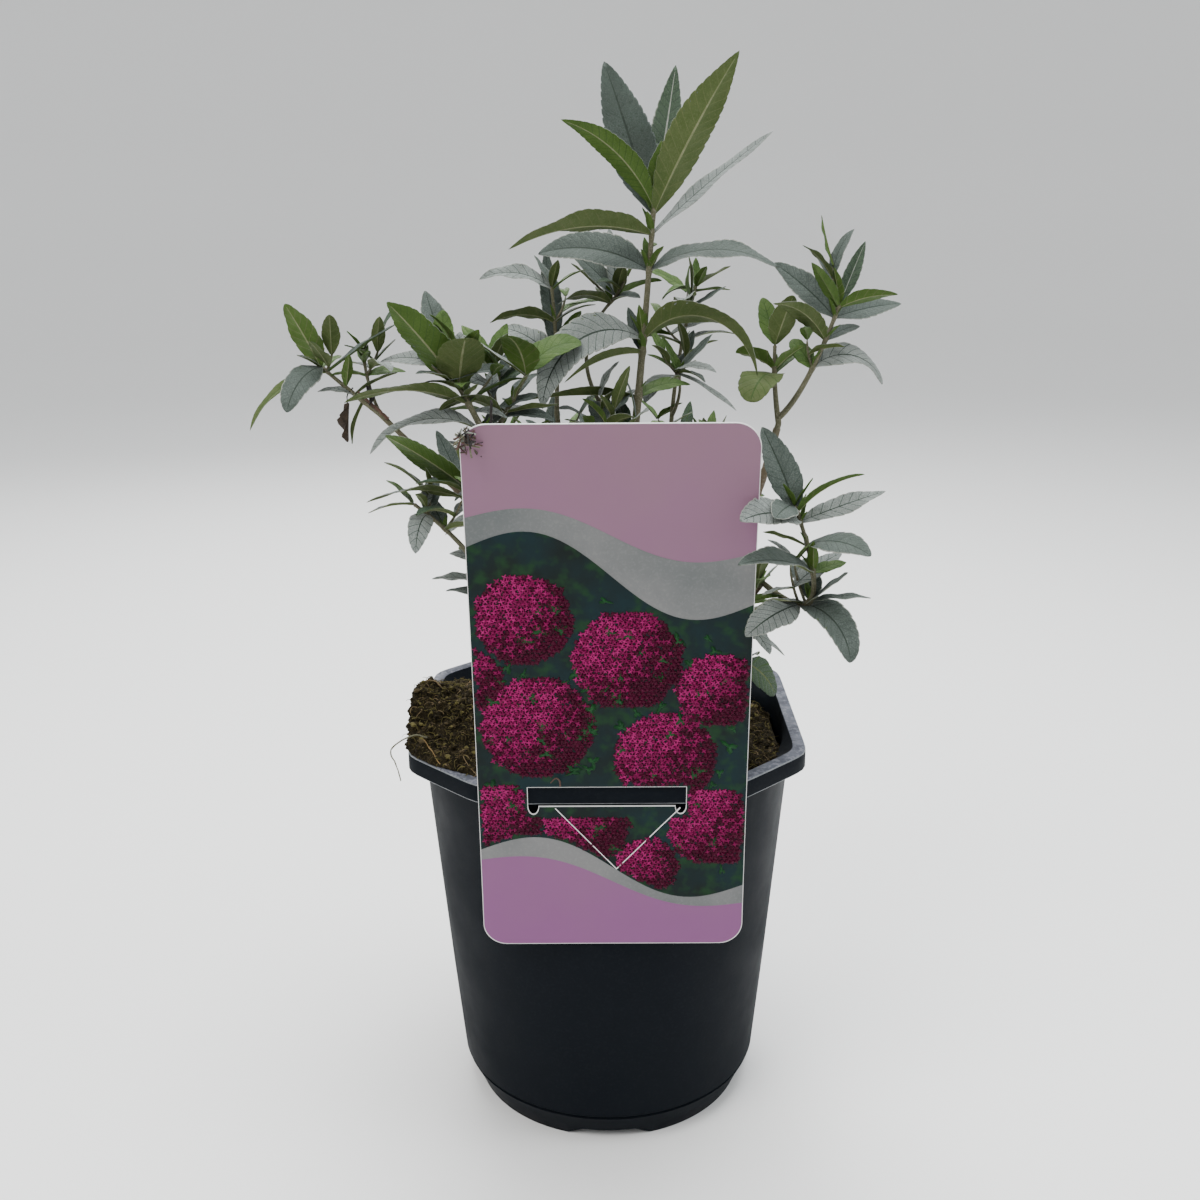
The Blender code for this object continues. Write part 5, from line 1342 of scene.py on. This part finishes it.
def buildWood():
    pile = newPile()
    for line, radii in fineLimbs:
        swelled = []
        for i, radius in enumerate(radii):
            root = math.exp(-(i / 2.2) ** 2) if line is not fineLimbs[0][0] else 0
            node = 0.14 * max(0, math.sin(i * 1.05 + radius * 9000)) ** 6
            slim = 1 if line is fineLimbs[0][0] else woodLook["slim"]
            swelled.append(radius * slim * (1 + woodLook["collar"] * root + node))
        sweepInto(pile, line, swelled, woodLook["sides"], 0)
    mesh = bpy.data.meshes.new("wood")
    mesh.from_pydata(pile["points"], [], pile["faces"])
    mesh = withModifiers(mesh, [("REMESH", {"mode": "VOXEL", "voxel_size": woodLook["voxel"]}),
                                ("SMOOTH", {"factor": 0.5, "iterations": 3})])
    count = len(mesh.vertices)
    places, normals = np.empty(count * 3), np.empty(count * 3)
    mesh.vertices.foreach_get("co", places)
    mesh.vertices.foreach_get("normal", normals)
    places, normals = places.reshape(-1, 3), normals.reshape(-1, 3)
    nearest = np.full(count, 1e9)
    along = np.zeros(count)
    ways = np.zeros((count, 3))
    for line, _ in fineLimbs:
        length = 0.0
        for a, b in zip(line, line[1:]):
            start, step = np.array(a), np.array(b - a)
            share = np.clip(((places - start) @ step) / (step @ step), 0, 1)
            away = np.linalg.norm(places - start - share[:, None] * step, axis=1)
            closer = away < nearest
            nearest[closer] = away[closer]
            size = np.linalg.norm(step)
            along[closer] = (length + share * size)[closer]
            ways[closer] = step / size
            length += size
    flat = places - (places * ways).sum(axis=1)[:, None] * ways
    for i, vert in enumerate(mesh.vertices):  # the pattern is drawn out along the limb
        spot = Vector(flat[i]) * woodLook["ridges"] + Vector((1, 1, 1)) * (along[i] * woodLook["ridges"]
                                                                          / woodLook["stretch"])
        ridge = noise.fractal(spot, 0.8, 2.2, 3)
        grain = noise.noise(Vector(places[i]) * 1700)
        thick = min(nearest[i] / 0.004, 1.0)
        vert.co = places[i] + normals[i] * (woodLook["relief"] * ridge * thick + woodLook["fine"] * grain * thick)
    mesh.polygons.foreach_set("use_smooth", [True] * len(mesh.polygons))
    mesh.materials.clear()
    pieceOf("barkWood", mesh, [barkFinish("bark", barkLook)], ["trunk", *boughTable])
    print("wood:", len(mesh.polygons), "faces")


buildWood()


# Leaves: tones are dealt out by leaf. Each tone: upper face, veins, midrib, lower face, its veins, its rib, margin
leafFinishes = {
    "slate": {
        "Colour": (0.054, 0.072, 0.06), "Second Colour": (0.084, 0.105, 0.092), "Speck Colour": (0.15, 0.172, 0.158),
        "Patch Scale": 120.0, "Speck Scale": 1500.0, "Speck Share": 0.35, "Rough Low": 0.6, "Rough High": 0.8,
        "Line Colour": (0.02, 0.03, 0.023), "Cell Scale": 1150.0, "Line Width": 0.12, "Line Share": 0.5,
        "bump": 0.7, "bumpDistance": 0.00025, "Sheen Weight": 0.05, "Sheen Roughness": 0.45, "Specular IOR Level": 0.22},
    "dusk": {
        "Colour": (0.04, 0.055, 0.044), "Second Colour": (0.055, 0.074, 0.061), "Speck Colour": (0.1, 0.12, 0.108),
        "Patch Scale": 120.0, "Speck Scale": 1500.0, "Speck Share": 0.25, "Rough Low": 0.6, "Rough High": 0.8,
        "Line Colour": (0.016, 0.025, 0.018), "Cell Scale": 1150.0, "Line Width": 0.12, "Line Share": 0.5,
        "bump": 0.7, "bumpDistance": 0.00025, "Sheen Weight": 0.05, "Sheen Roughness": 0.45, "Specular IOR Level": 0.22},
    "silver": {
        "Colour": (0.15, 0.17, 0.155), "Second Colour": (0.21, 0.235, 0.22), "Speck Colour": (0.3, 0.32, 0.31),
        "Patch Scale": 140.0, "Speck Scale": 1500.0, "Speck Share": 0.4, "Rough Low": 0.65, "Rough High": 0.85,
        "Line Colour": (0.07, 0.085, 0.074), "Cell Scale": 1150.0, "Line Width": 0.12, "Line Share": 0.5,
        "bump": 0.7, "bumpDistance": 0.00025, "Sheen Weight": 0.1, "Sheen Roughness": 0.45, "Specular IOR Level": 0.22},
    "deep": {
        "Colour": (0.028, 0.052, 0.026), "Second Colour": (0.042, 0.07, 0.038), "Speck Colour": (0.085, 0.11, 0.075),
        "Patch Scale": 120.0, "Speck Scale": 1500.0, "Speck Share": 0.3, "Rough Low": 0.5, "Rough High": 0.7,
        "Line Colour": (0.006, 0.014, 0.006), "Cell Scale": 1150.0, "Line Width": 0.12, "Line Share": 0.5,
        "bump": 0.7, "bumpDistance": 0.00025, "Sheen Weight": 0.03, "Sheen Roughness": 0.45, "Specular IOR Level": 0.22},
    "fresh": {
        "Colour": (0.062, 0.112, 0.018), "Second Colour": (0.046, 0.092, 0.018), "Speck Colour": (0.11, 0.15, 0.055),
        "Patch Scale": 160.0, "Speck Scale": 1500.0, "Speck Share": 0.3, "Rough Low": 0.5, "Rough High": 0.7,
        "Line Colour": (0.022, 0.05, 0.008), "Cell Scale": 1150.0, "Line Width": 0.12, "Line Share": 0.35,
        "bump": 0.5, "bumpDistance": 0.0002, "Sheen Weight": 0.03, "Sheen Roughness": 0.45, "Specular IOR Level": 0.22},
    "olive": {
        "Colour": (0.063, 0.086, 0.023), "Second Colour": (0.051, 0.077, 0.019), "Speck Colour": (0.112, 0.128, 0.055),
        "Patch Scale": 110.0, "Speck Scale": 1400.0, "Speck Share": 0.3, "Rough Low": 0.6, "Rough High": 0.8,
        "Line Colour": (0.042, 0.058, 0.016), "Cell Scale": 950.0, "Line Width": 0.1, "Line Share": 0.35,
        "bump": 0.35, "bumpDistance": 0.0002, "Sheen Weight": 0.03, "Sheen Roughness": 0.5, "Specular IOR Level": 0.22},
    "grass": {
        "Colour": (0.048, 0.092, 0.01), "Second Colour": (0.038, 0.076, 0.009), "Speck Colour": (0.085, 0.122, 0.03),
        "Patch Scale": 110.0, "Speck Scale": 1400.0, "Speck Share": 0.3, "Rough Low": 0.55, "Rough High": 0.75,
        "Line Colour": (0.034, 0.064, 0.01), "Cell Scale": 950.0, "Line Width": 0.1, "Line Share": 0.35,
        "bump": 0.35, "bumpDistance": 0.0002, "Sheen Weight": 0.03, "Sheen Roughness": 0.5, "Specular IOR Level": 0.22},
}
plainFinishes = {
    "darkVein": {
        "Colour": (0.016, 0.025, 0.018), "Second Colour": (0.026, 0.037, 0.028), "Speck Colour": (0.05, 0.06, 0.05),
        "Patch Scale": 300.0, "Rough Low": 0.6, "Rough High": 0.8, "Specular IOR Level": 0.2},
    "softVein": {
        "Colour": (0.04, 0.053, 0.044), "Second Colour": (0.055, 0.07, 0.06), "Speck Colour": (0.09, 0.105, 0.095),
        "Patch Scale": 300.0, "Rough Low": 0.6, "Rough High": 0.8, "Specular IOR Level": 0.2},
    "greenVein": {
        "Colour": (0.026, 0.056, 0.009), "Second Colour": (0.034, 0.068, 0.012), "Speck Colour": (0.06, 0.09, 0.03),
        "Patch Scale": 300.0, "Rough Low": 0.6, "Rough High": 0.8, "Specular IOR Level": 0.2},
    "oliveVein": {
        "Colour": (0.084, 0.1, 0.037), "Second Colour": (0.068, 0.086, 0.028), "Speck Colour": (0.12, 0.13, 0.068),
        "Patch Scale": 300.0, "Rough Low": 0.6, "Rough High": 0.8, "Specular IOR Level": 0.2},
    "paleRib": {
        "Colour": (0.17, 0.18, 0.09), "Second Colour": (0.13, 0.145, 0.066), "Speck Colour": (0.24, 0.25, 0.16),
        "Patch Scale": 250.0, "Rough Low": 0.6, "Rough High": 0.8, "Sheen Weight": 0.05, "Specular IOR Level": 0.2},
    "wool": {
        "Colour": (0.22, 0.23, 0.2), "Second Colour": (0.15, 0.165, 0.135), "Speck Colour": (0.33, 0.34, 0.31),
        "Patch Scale": 400.0, "Speck Scale": 1800.0, "Speck Share": 0.6, "Rough Low": 0.8, "Rough High": 0.95,
        "Sheen Weight": 0.12, "Specular IOR Level": 0.2},
    "stemHair": {
        "Colour": (0.072, 0.068, 0.036), "Second Colour": (0.095, 0.092, 0.055), "Speck Colour": (0.19, 0.185, 0.14),
        "Patch Scale": 260.0, "Speck Scale": 1500.0, "Speck Share": 0.6, "Rough Low": 0.7, "Rough High": 0.9,
        "Sheen Weight": 0.06, "Specular IOR Level": 0.25},
    "deadBrown": {
        "Colour": (0.026, 0.016, 0.01), "Second Colour": (0.045, 0.028, 0.017), "Speck Colour": (0.08, 0.055, 0.035),
        "Patch Scale": 260.0, "Speck Scale": 1200.0, "Speck Share": 0.4, "Rough Low": 0.75, "Rough High": 0.95,
        "bump": 0.8, "bumpDistance": 0.0004},
    "deadBlack": {
        "Colour": (0.005, 0.004, 0.0035), "Second Colour": (0.01, 0.008, 0.006), "Speck Colour": (0.025, 0.02, 0.015),
        "Patch Scale": 260.0, "Rough Low": 0.75, "Rough High": 0.95},
    "redTwig": {
        "Colour": (0.07, 0.028, 0.015), "Second Colour": (0.045, 0.019, 0.011), "Speck Colour": (0.12, 0.07, 0.045),
        "Patch Scale": 260.0, "Rough Low": 0.65, "Rough High": 0.85},
}
plantPaint = [leafFinish(name, values) for name, values in leafFinishes.items()]
plantPaint += [finishOf(name, values) for name, values in plainFinishes.items()]
paintIndex = {finish.name: i for i, finish in enumerate(plantPaint)}
leafTones = {
    "slate": ("slate", "softVein", "darkVein", "olive", "oliveVein", "paleRib", "wool"),
    "dusk": ("dusk", "softVein", "darkVein", "olive", "oliveVein", "paleRib", "slate"),
    "shade": ("deep", "greenVein", "oliveVein", "deep", "greenVein", "oliveVein", "deep"),
    "bright": ("slate", "softVein", "darkVein", "grass", "greenVein", "paleRib", "wool"),
    "silver": ("silver", "softVein", "darkVein", "olive", "oliveVein", "paleRib", "wool"),
    "deep": ("deep", "darkVein", "greenVein", "olive", "oliveVein", "paleRib", "deep"),
    "young": ("fresh", "greenVein", "greenVein", "grass", "oliveVein", "paleRib", "fresh"),
    "woolly": ("deep", "darkVein", "wool", "grass", "greenVein", "paleRib", "wool"),
    "grass": ("slate", "softVein", "darkVein", "grass", "greenVein", "oliveVein", "slate"),
    "dull": ("olive", "greenVein", "greenVein", "olive", "oliveVein", "paleRib", "olive"),
    "dead": ("deadBrown",) * 7,
    "black": ("deadBlack",) * 7,
}
leafLook = {
    "veinSpacing": 0.0042, "veins": (3, 14), "slant": 0.85, "puff": 0.05, "thin": 0.00030, "rib": 0.00050,
    "veinWidth": 0.00034, "columns": (0, 0.05, 0.36, 0.68, 0.94, 1.0), "smallColumns": (0, 0.12, 0.55, 1.0), "small": 0.013,
    "fold": (0.06, 0.34), "wave": 0.045, "tooth": 0.045, "sickle": 0.035, "curlUnder": 0.10,
}
leafLeads = {  # the tone of a leaf by shoot and number, where the photo shows it
    "leader_foliage": {0: "silver", 1: "young", 2: "silver", 4: "silver", 5: "silver", 6: "slate", 7: "slate", 8: "silver",
                       9: "silver", 10: "dusk", 11: "slate", 12: "bright", 13: "woolly", 14: "woolly", 15: "woolly"},
    "left_foliage": {0: "silver", 4: "bright", 5: "dull", 8: "young", 9: "young"},
    "far_left_foliage": {1: "dull", 2: "grass"}, "lower_left_foliage": {8: "bright"},
    "right_foliage": {0: "dull", 6: "silver", 13: "grass", 14: "woolly"},
    "low_right_foliage": {6: "shade"},
}
leafTurns = {  # leaves set as the photo shows them: heading, rise, length, arch, breadth, roll
    ("leader_foliage", 8): (212, 16, 0.069, 40, 0.24, 35),
    ("leader_foliage", 9): (25, 39, 0.07, 6, 0.12, 15),
    ("leader_foliage", 12): (218, 60, 0.058, 48, 0.2, 42),
    ("leader_foliage", 15): (-62, 77, 0.026, 8, 0.34, -3),
    ("left_foliage", 0): (188, 34, 0.052, 88, 0.24, -12),
    ("right_foliage", 6): (3, 45, 0.037, 118, 0.4, 30),
    ("right_foliage", 10): (34, 12, 0.038, 12, 0.28, 45),
    ("right_foliage", 12): (-23, 29, 0.025, 32, 0.32, -45),
    ("right_foliage", 13): (222, 50, 0.027, 12, 0.24, 25),
    ("right_foliage", 14): (47, 56, 0.029, 0, 0.24, 35),
    ("lower_right_foliage", 6): (223.6, 30, 0.0435, 32, 0.3, -25),
    ("lower_right_foliage", 10): (227.5, 28, 0.038, 36, 0.4, -30),
    ("low_right_foliage", 6): (23, -28, 0.024, 40, 0.6, 58),
}


def leafInto(pile, root, leaf, tone, rng, look=leafLook):
    heading, rise, length, arch = leaf[:4]
    steps = 30
    points, _ = leafLine(root, leaf, steps)
    small = length < look["small"]
    columns = look["smallColumns"] if small else look["columns"]
    veins = max(look["veins"][0], min(look["veins"][1], round(length / look["veinSpacing"])))
    fold = rng.uniform(*look["fold"])
    wave, waves, phase = rng.uniform(0.3, 1) * look["wave"], rng.uniform(1.2, 2.6), rng.uniform(0, math.tau)
    sickle = rng.uniform(-1, 1) * look["sickle"] * length
    under = rng.uniform(-0.2, 1) * look["curlUnder"]
    twist = rng.uniform(-9, 9)
    shares = [0.0, 0.03]
    kinds = [0, 0]
    for i in range(veins):
        middle = 0.07 + 0.88 * (i + 0.5) / veins
        half = look["veinWidth"] / 2 / length
        shares += [middle - half, middle + half, middle + 0.44 / veins]
        kinds += [1, 0, 0]
    tones = [paintIndex[name] for name in tone]
    turn = math.radians(heading)
    level = Vector((-math.sin(turn), math.cos(turn), 0))
    rings = []
    sides = [(-c, True) for c in reversed(columns[1:])] + [(c, True) for c in columns]
    for row, share in enumerate(shares):
        sweep = look["slant"] * halfWidth(min(share, 1), leaf, True) / length
        upper, lower = [], []
        for c, _ in sides:
            spot = min(share + abs(c) * sweep, 0.995)
            slope = math.radians(rise - arch * spot)
            way = Vector((math.cos(slope) * math.cos(turn), math.cos(slope) * math.sin(turn), math.sin(slope)))
            side = Matrix.Rotation(math.radians(leaf[5] + twist * spot), 3, way) @ level
            up = way.cross(side)
            full = halfWidth(spot, leaf, True)
            wide = full * (1 + look["tooth"] * (0.5 if row % 3 else -0.8) * (abs(c) > 0.9))
            crest = 0 if kinds[row] or row < 2 or kinds[row - 1] else 1
            puff = look["puff"] * full * (math.sin(math.pi * abs(c) * 0.94) ** 0.8 if c else 0) * (crest - 0.25)
            lift = full * (abs(c) * math.sin(fold) - under * c ** 4) + puff
            lift += wave * length * 0.5 * math.sin(math.tau * waves * spot + phase + (c > 0) * 1.9) * c * c * min(
                full / (0.1 * length), 1)
            middle = atShare(points, spot) + level * (sickle * spot * spot)
            place = middle + side * (c * wide * math.cos(fold)) + up * (lift + 0.0001)
            thick = look["thin"] * (1 - 0.55 * abs(c)) + look["rib"] * max(0, 1 - abs(c) / 0.12) * (1.1 - spot)
            if share == 0:
                thick = growth["petiole"] * (1.3 - 0.6 * abs(c))
            upper.append(place)
            lower.append(place - up * thick)
        rings.append(upper + lower[::-1])
    wideCount = len(sides)
    faces, finish = [], []
    size = 2 * wideCount
    for row in range(len(rings) - 1):
        for i in range(size):
            j = (i + 1) % size
            faces.append((row * size + i, row * size + j, (row + 1) * size + j, (row + 1) * size + i))
            top = i < wideCount - 1
            k = i if top else size - 2 - i
            if k < 0 or k >= wideCount - 1:
                finish.append(tones[6])
                continue
            c = max(abs(sides[k][0]), abs(sides[k + 1][0]))
            if c <= columns[1] and not small:
                finish.append(tones[2] if top else tones[5])
            elif c > columns[-2] and not small and top:
                finish.append(tones[6])
            elif kinds[row] and not small:
                finish.append(tones[1] if top else tones[4])
            else:
                finish.append(tones[0] if top else tones[3])
    tip = len(rings) * size
    last = (len(rings) - 1) * size
    faces += [(last + i, last + (i + 1) % size, tip) for i in range(size)]
    finish += [tones[0] if i < wideCount - 1 else tones[3] for i in range(size)]
    faces.append(tuple(reversed(range(size))))
    finish.append(tones[3])
    end = atShare(points, 1.0) + level * sickle
    addTo(pile, [point for ring in rings for point in ring] + [end], [tuple(reversed(face)) for face in faces], finish)


def toneFor(name, index, leaf, share, rng):
    lead = leafLeads.get(name, {}).get(index)
    draw = rng.random()
    if lead:
        return lead
    if leaf[2] < 0.019 or (share > 0.94 and leaf[2] < 0.03):
        return "young" if draw < 0.72 else "slate"
    if leaf[3] > 45:
        return "silver" if draw < 0.6 else "slate" if draw < 0.85 else "deep"
    return "slate" if draw < 0.3 else "deep" if draw < 0.4 else "grass" if draw < 0.62 else "silver"


sprigLook = {  # side growth in the leaf axils and on the upper boughs
    "tuft": {"length": (0.0045, 0.0095), "rise": (58, 82), "breadth": (0.26, 0.4), "chance": 0.7, "longer": 1.6},
    "sprig": {"chance": 0.75, "length": (0.007, 0.018), "rise": (30, 64), "pairs": (2, 4), "leaf": (0.013, 0.028),
              "radius": (0.00065, 0.00045)},
    "bough": {"shares": (0.44, 0.58, 0.72, 0.86, 0.97), "chance": 0.8, "leaf": (0.016, 0.029), "rise": (4, 40)},
    "bare": ("leader_bough", "right_bough", "far_left_bough", "trunk"),
    "few": {"leader_foliage": 0.14, "right_foliage": 0.4, "lower_right_foliage": 0.4, "far_left_foliage": 0.5},
}


def tryLeaf(root, leaf, tests):  # the leaf if it is clear of what is there
    for turn, lift in growth["nudges"][:3]:
        tried = (leaf[0] + turn, leaf[1] + lift, *leaf[2:])
        blade = BVHTree.FromPolygons(*solidLeaf(root, tried, 0.2, 0.0))
        if not any(blade.overlap(tree) for tree in tests):
            return tried, blade
    return None


def growSprig(leaves, stems, root, heading, rng, tests, own):
    look = sprigLook["sprig"]
    length, rise = rng.uniform(*look["length"]), rng.uniform(*look["rise"])
    line, _ = leafLine(root, (heading, rise, length, rng.uniform(-30, -5)), 6)
    pairs = rng.randint(*look["pairs"])
    turn = heading + rng.choice((0, 90))
    made = 0
    for i in range(pairs):
        share = (i + 1) / pairs
        for side in (0, 180):
            size = rng.uniform(*look["leaf"]) * (1 - 0.3 * i / pairs)
            leaf = (turn + 90 * i + side + rng.uniform(-16, 16), rng.uniform(5, 38) + 26 * i, size,
                    rng.uniform(4, 56), rng.uniform(0.24, 0.4), rng.uniform(-30, 30))
            found = tryLeaf(atShare(line, share), leaf, tests + own)
            if found:
                tone = "young" if i == pairs - 1 and rng.random() < 0.5 else toneFor("", -1, (0, 0, 0.03, leaf[3]), 0, rng)
                leafInto(leaves, atShare(line, share), found[0], leafTones[tone], rng)
                own.append(found[1])
                made += 1
    if made:
        radii = limbRadii(6, *look["radius"])
        radii[-1] *= 0.4
        sweepInto(stems, line, radii, 7, paintIndex["stemHair"])
    return made


def buildShoots():
    total = 0
    tuft = sprigLook["tuft"]
    fixed = [treeOf(nodes[name].data) for name in ("pot", "label")]
    solid = {name: [BVHTree.FromPolygons(*solidLeaf(root, leaf, 0.2)) for root, leaf, _, _ in rows if leaf]
             for name, rows in leafTable.items()}
    everyLeaf = [tree for trees in solid.values() for tree in trees]
    grown = []
    for name, twigs in twigTable.items():
        rng = random.Random(name + " fine")
        leaves, stems = newPile(), newPile()
        for _, radii, rows, fine in twigs:
            shares = [row[0] for row in rows]
            length = sum((b - a).length for a, b in zip(fine, fine[1:]))
            line, sizes = [], []
            count = 44
            for i in range(count + 1):
                share = i / count
                swell = sum(math.exp(-((share - s) * length / 0.0013) ** 2) for s in shares)
                line.append(atShare(fine, share))
                size = 0.84 * (radii[0] + (radii[-1] - radii[0]) * share)
                sizes.append(size * (1 + 0.28 * min(swell, 1.2)) * (0.35 if i == count else 1))
            sweepInto(stems, line, sizes, 10, paintIndex["stemHair"], 0.07, 0.4)
        chance = sprigLook["few"].get(name, sprigLook["sprig"]["chance"])
        for index, (root, leaf, twig, share) in enumerate(leafTable[name]):
            if not leaf:
                continue
            leaf = leafTurns.get((name, index), leaf)
            leafInto(leaves, root, leaf, leafTones[toneFor(name, index, leaf, share, rng)], rng)
            if share < 0.97 and rng.random() < chance:
                growSprig(leaves, stems, root, leaf[0] + rng.uniform(-12, 12), rng, fixed + everyLeaf, grown)
            elif share < 0.97 and rng.random() < tuft["chance"]:  # a pair of small leaves in the leaf's axil
                for turn in (-38, 38):
                    size = rng.uniform(*tuft["length"]) * (tuft["longer"] if leaf[2] > 0.04 else 1)
                    small = (leaf[0] + turn + rng.uniform(-14, 14), rng.uniform(*tuft["rise"]), size,
                             rng.uniform(0, 24), rng.uniform(*tuft["breadth"]), rng.uniform(-20, 20))
                    leafInto(leaves, root, small, leafTones["young"], rng)
        bough = shootTable[name][0]
        if bough not in sprigLook["bare"]:
            look = sprigLook["bough"]
            turn = rng.uniform(0, 180)
            for i, share in enumerate(look["shares"]):
                root = atShare(limbLines[bough], share)
                for side in (0, 180):
                    heading = turn + 90 * i + side + rng.uniform(-12, 12)
                    leaf = (heading, rng.uniform(*look["rise"]), rng.uniform(*look["leaf"]), rng.uniform(10, 60),
                            rng.uniform(0.26, 0.42), rng.uniform(-30, 30))
                    found = rng.random() < look["chance"] and tryLeaf(root, leaf, fixed + everyLeaf + grown)
                    if found:
                        leafInto(leaves, root, found[0], leafTones[toneFor("", -1, leaf, share, rng)], rng)
                        grown.append(found[1])
                        if rng.random() < 0.35:
                            growSprig(leaves, stems, root, heading + 20, rng, fixed + everyLeaf, grown)
        words = name.replace("_foliage", "").split("_")
        title = words[0] + "".join(word.title() for word in words[1:])
        pieceFrom(title + "Leaves", leaves, plantPaint, [name])
        pieceFrom(title + "Twigs", stems, plantPaint)
        total += len(leaves["faces"]) + len(stems["faces"])
    print("shoots:", total, "faces,", len(grown), "leaves on the side growth")


buildShoots()


# Dead and stray bits that the photo shows
strayLook = {
    "thread": ((-0.1040, -0.0205, 0.3325), (-0.1062, -0.0215, 0.3300), (-0.1064, -0.022, 0.3262)),
    "hungLeaf": ((-0.1064, -0.022, 0.3266), (250, -80, 0.0165, 16, 0.34, 40)),
    "blackLeaf": ((-0.0985, -0.021, 0.3335), (330, -50, 0.0085, 60, 0.55, 30)),
    "deadTwig": ((-0.0902, -0.0205, 0.3195), (-0.0955, -0.0215, 0.3250), (-0.1017, -0.022, 0.3308)),
    "stick": ((-0.0396, -0.0995, 0.3130), (-0.0405, -0.0990, 0.3265), (-0.0403, -0.0985, 0.3380)),
    "root": ((-0.0185, -0.0875, 0.1834), (-0.0188, -0.0892, 0.1868), (-0.0204, -0.0898, 0.1878),
             (-0.0222, -0.0898, 0.1858)),
    "loop": ((-0.0750, -0.0560, 0.1915), (-0.0800, -0.0580, 0.1935), (-0.0868, -0.0615, 0.1912),
             (-0.0893, -0.0635, 0.1880), (-0.0866, -0.0680, 0.1850), (-0.0842, -0.0720, 0.1790)),
    "clump": ((-0.0482, -0.1072, 0.3252), 90, (0.0016, 0.0052), 0.0040), "seed": 5,
}


def smoothLine(points, count=24):  # a soft curve through the points
    points = [Vector(point) for point in points]
    line = []
    for i in range(count + 1):
        place = i / count * (len(points) - 1)
        k = min(int(place), len(points) - 2)
        t = place - k
        a, b, c, d = (points[max(0, min(len(points) - 1, k + n))] for n in (-1, 0, 1, 2))
        line.append(0.5 * (2 * b + (c - a) * t + (2 * a - 5 * b + 4 * c - d) * t * t
                           + (3 * b - a - 3 * c + d) * t ** 3))
    return line


def buildStray():
    rng = random.Random(strayLook["seed"])
    pile = newPile()
    for name, radius, finish in (("thread", 0.00032, "deadBlack"), ("deadTwig", 0.00075, "redTwig"),
                                 ("stick", 0.00072, "deadBlack"), ("root", 0.00036, "redTwig"),
                                 ("loop", 0.00038, "stemHair")):
        line = smoothLine(strayLook[name])
        jitter = [point + Vector([rng.uniform(-0.25, 0.25) * radius for _ in range(3)]) for point in line]
        sizes = [radius * (1 - 0.35 * i / 24) * rng.uniform(0.85, 1.15) for i in range(25)]
        sweepInto(pile, jitter, sizes, 7, paintIndex[finish])
    for name, tone in (("hungLeaf", "dead"), ("blackLeaf", "black")):
        root, leaf = strayLook[name]
        crumpled = {**leafLook, "fold": (0.9, 1.1), "wave": 0.16, "puff": 0.35, "tooth": 0.2, "curlUnder": 0.5,
                    "thin": 0.00045}
        leafInto(pile, Vector(root), leaf, leafTones[tone], rng, crumpled)
    centre, count, lengths, spread = strayLook["clump"]
    for _ in range(count):
        start = Vector(centre) + Vector([rng.gauss(0, 0.5) * spread for _ in range(3)])
        way = Vector((rng.uniform(-1, 1), rng.uniform(-0.5, 0.5), rng.uniform(-0.9, 0.7))).normalized()
        bend = Vector([rng.uniform(-0.3, 0.3) for _ in range(3)])
        length = rng.uniform(*lengths)
        line = [start + (way + bend * (i / 5)) * (length * i / 5) for i in range(6)]
        sweepInto(pile, line, [rng.uniform(0.00016, 0.0004)] * 6, 5,
                  paintIndex[rng.choice(("stemHair", "deadBrown", "redTwig", "deadBlack", "wool"))])
    pieceFrom("strayBits", pile, plantPaint)


buildStray()
print("stray bits")
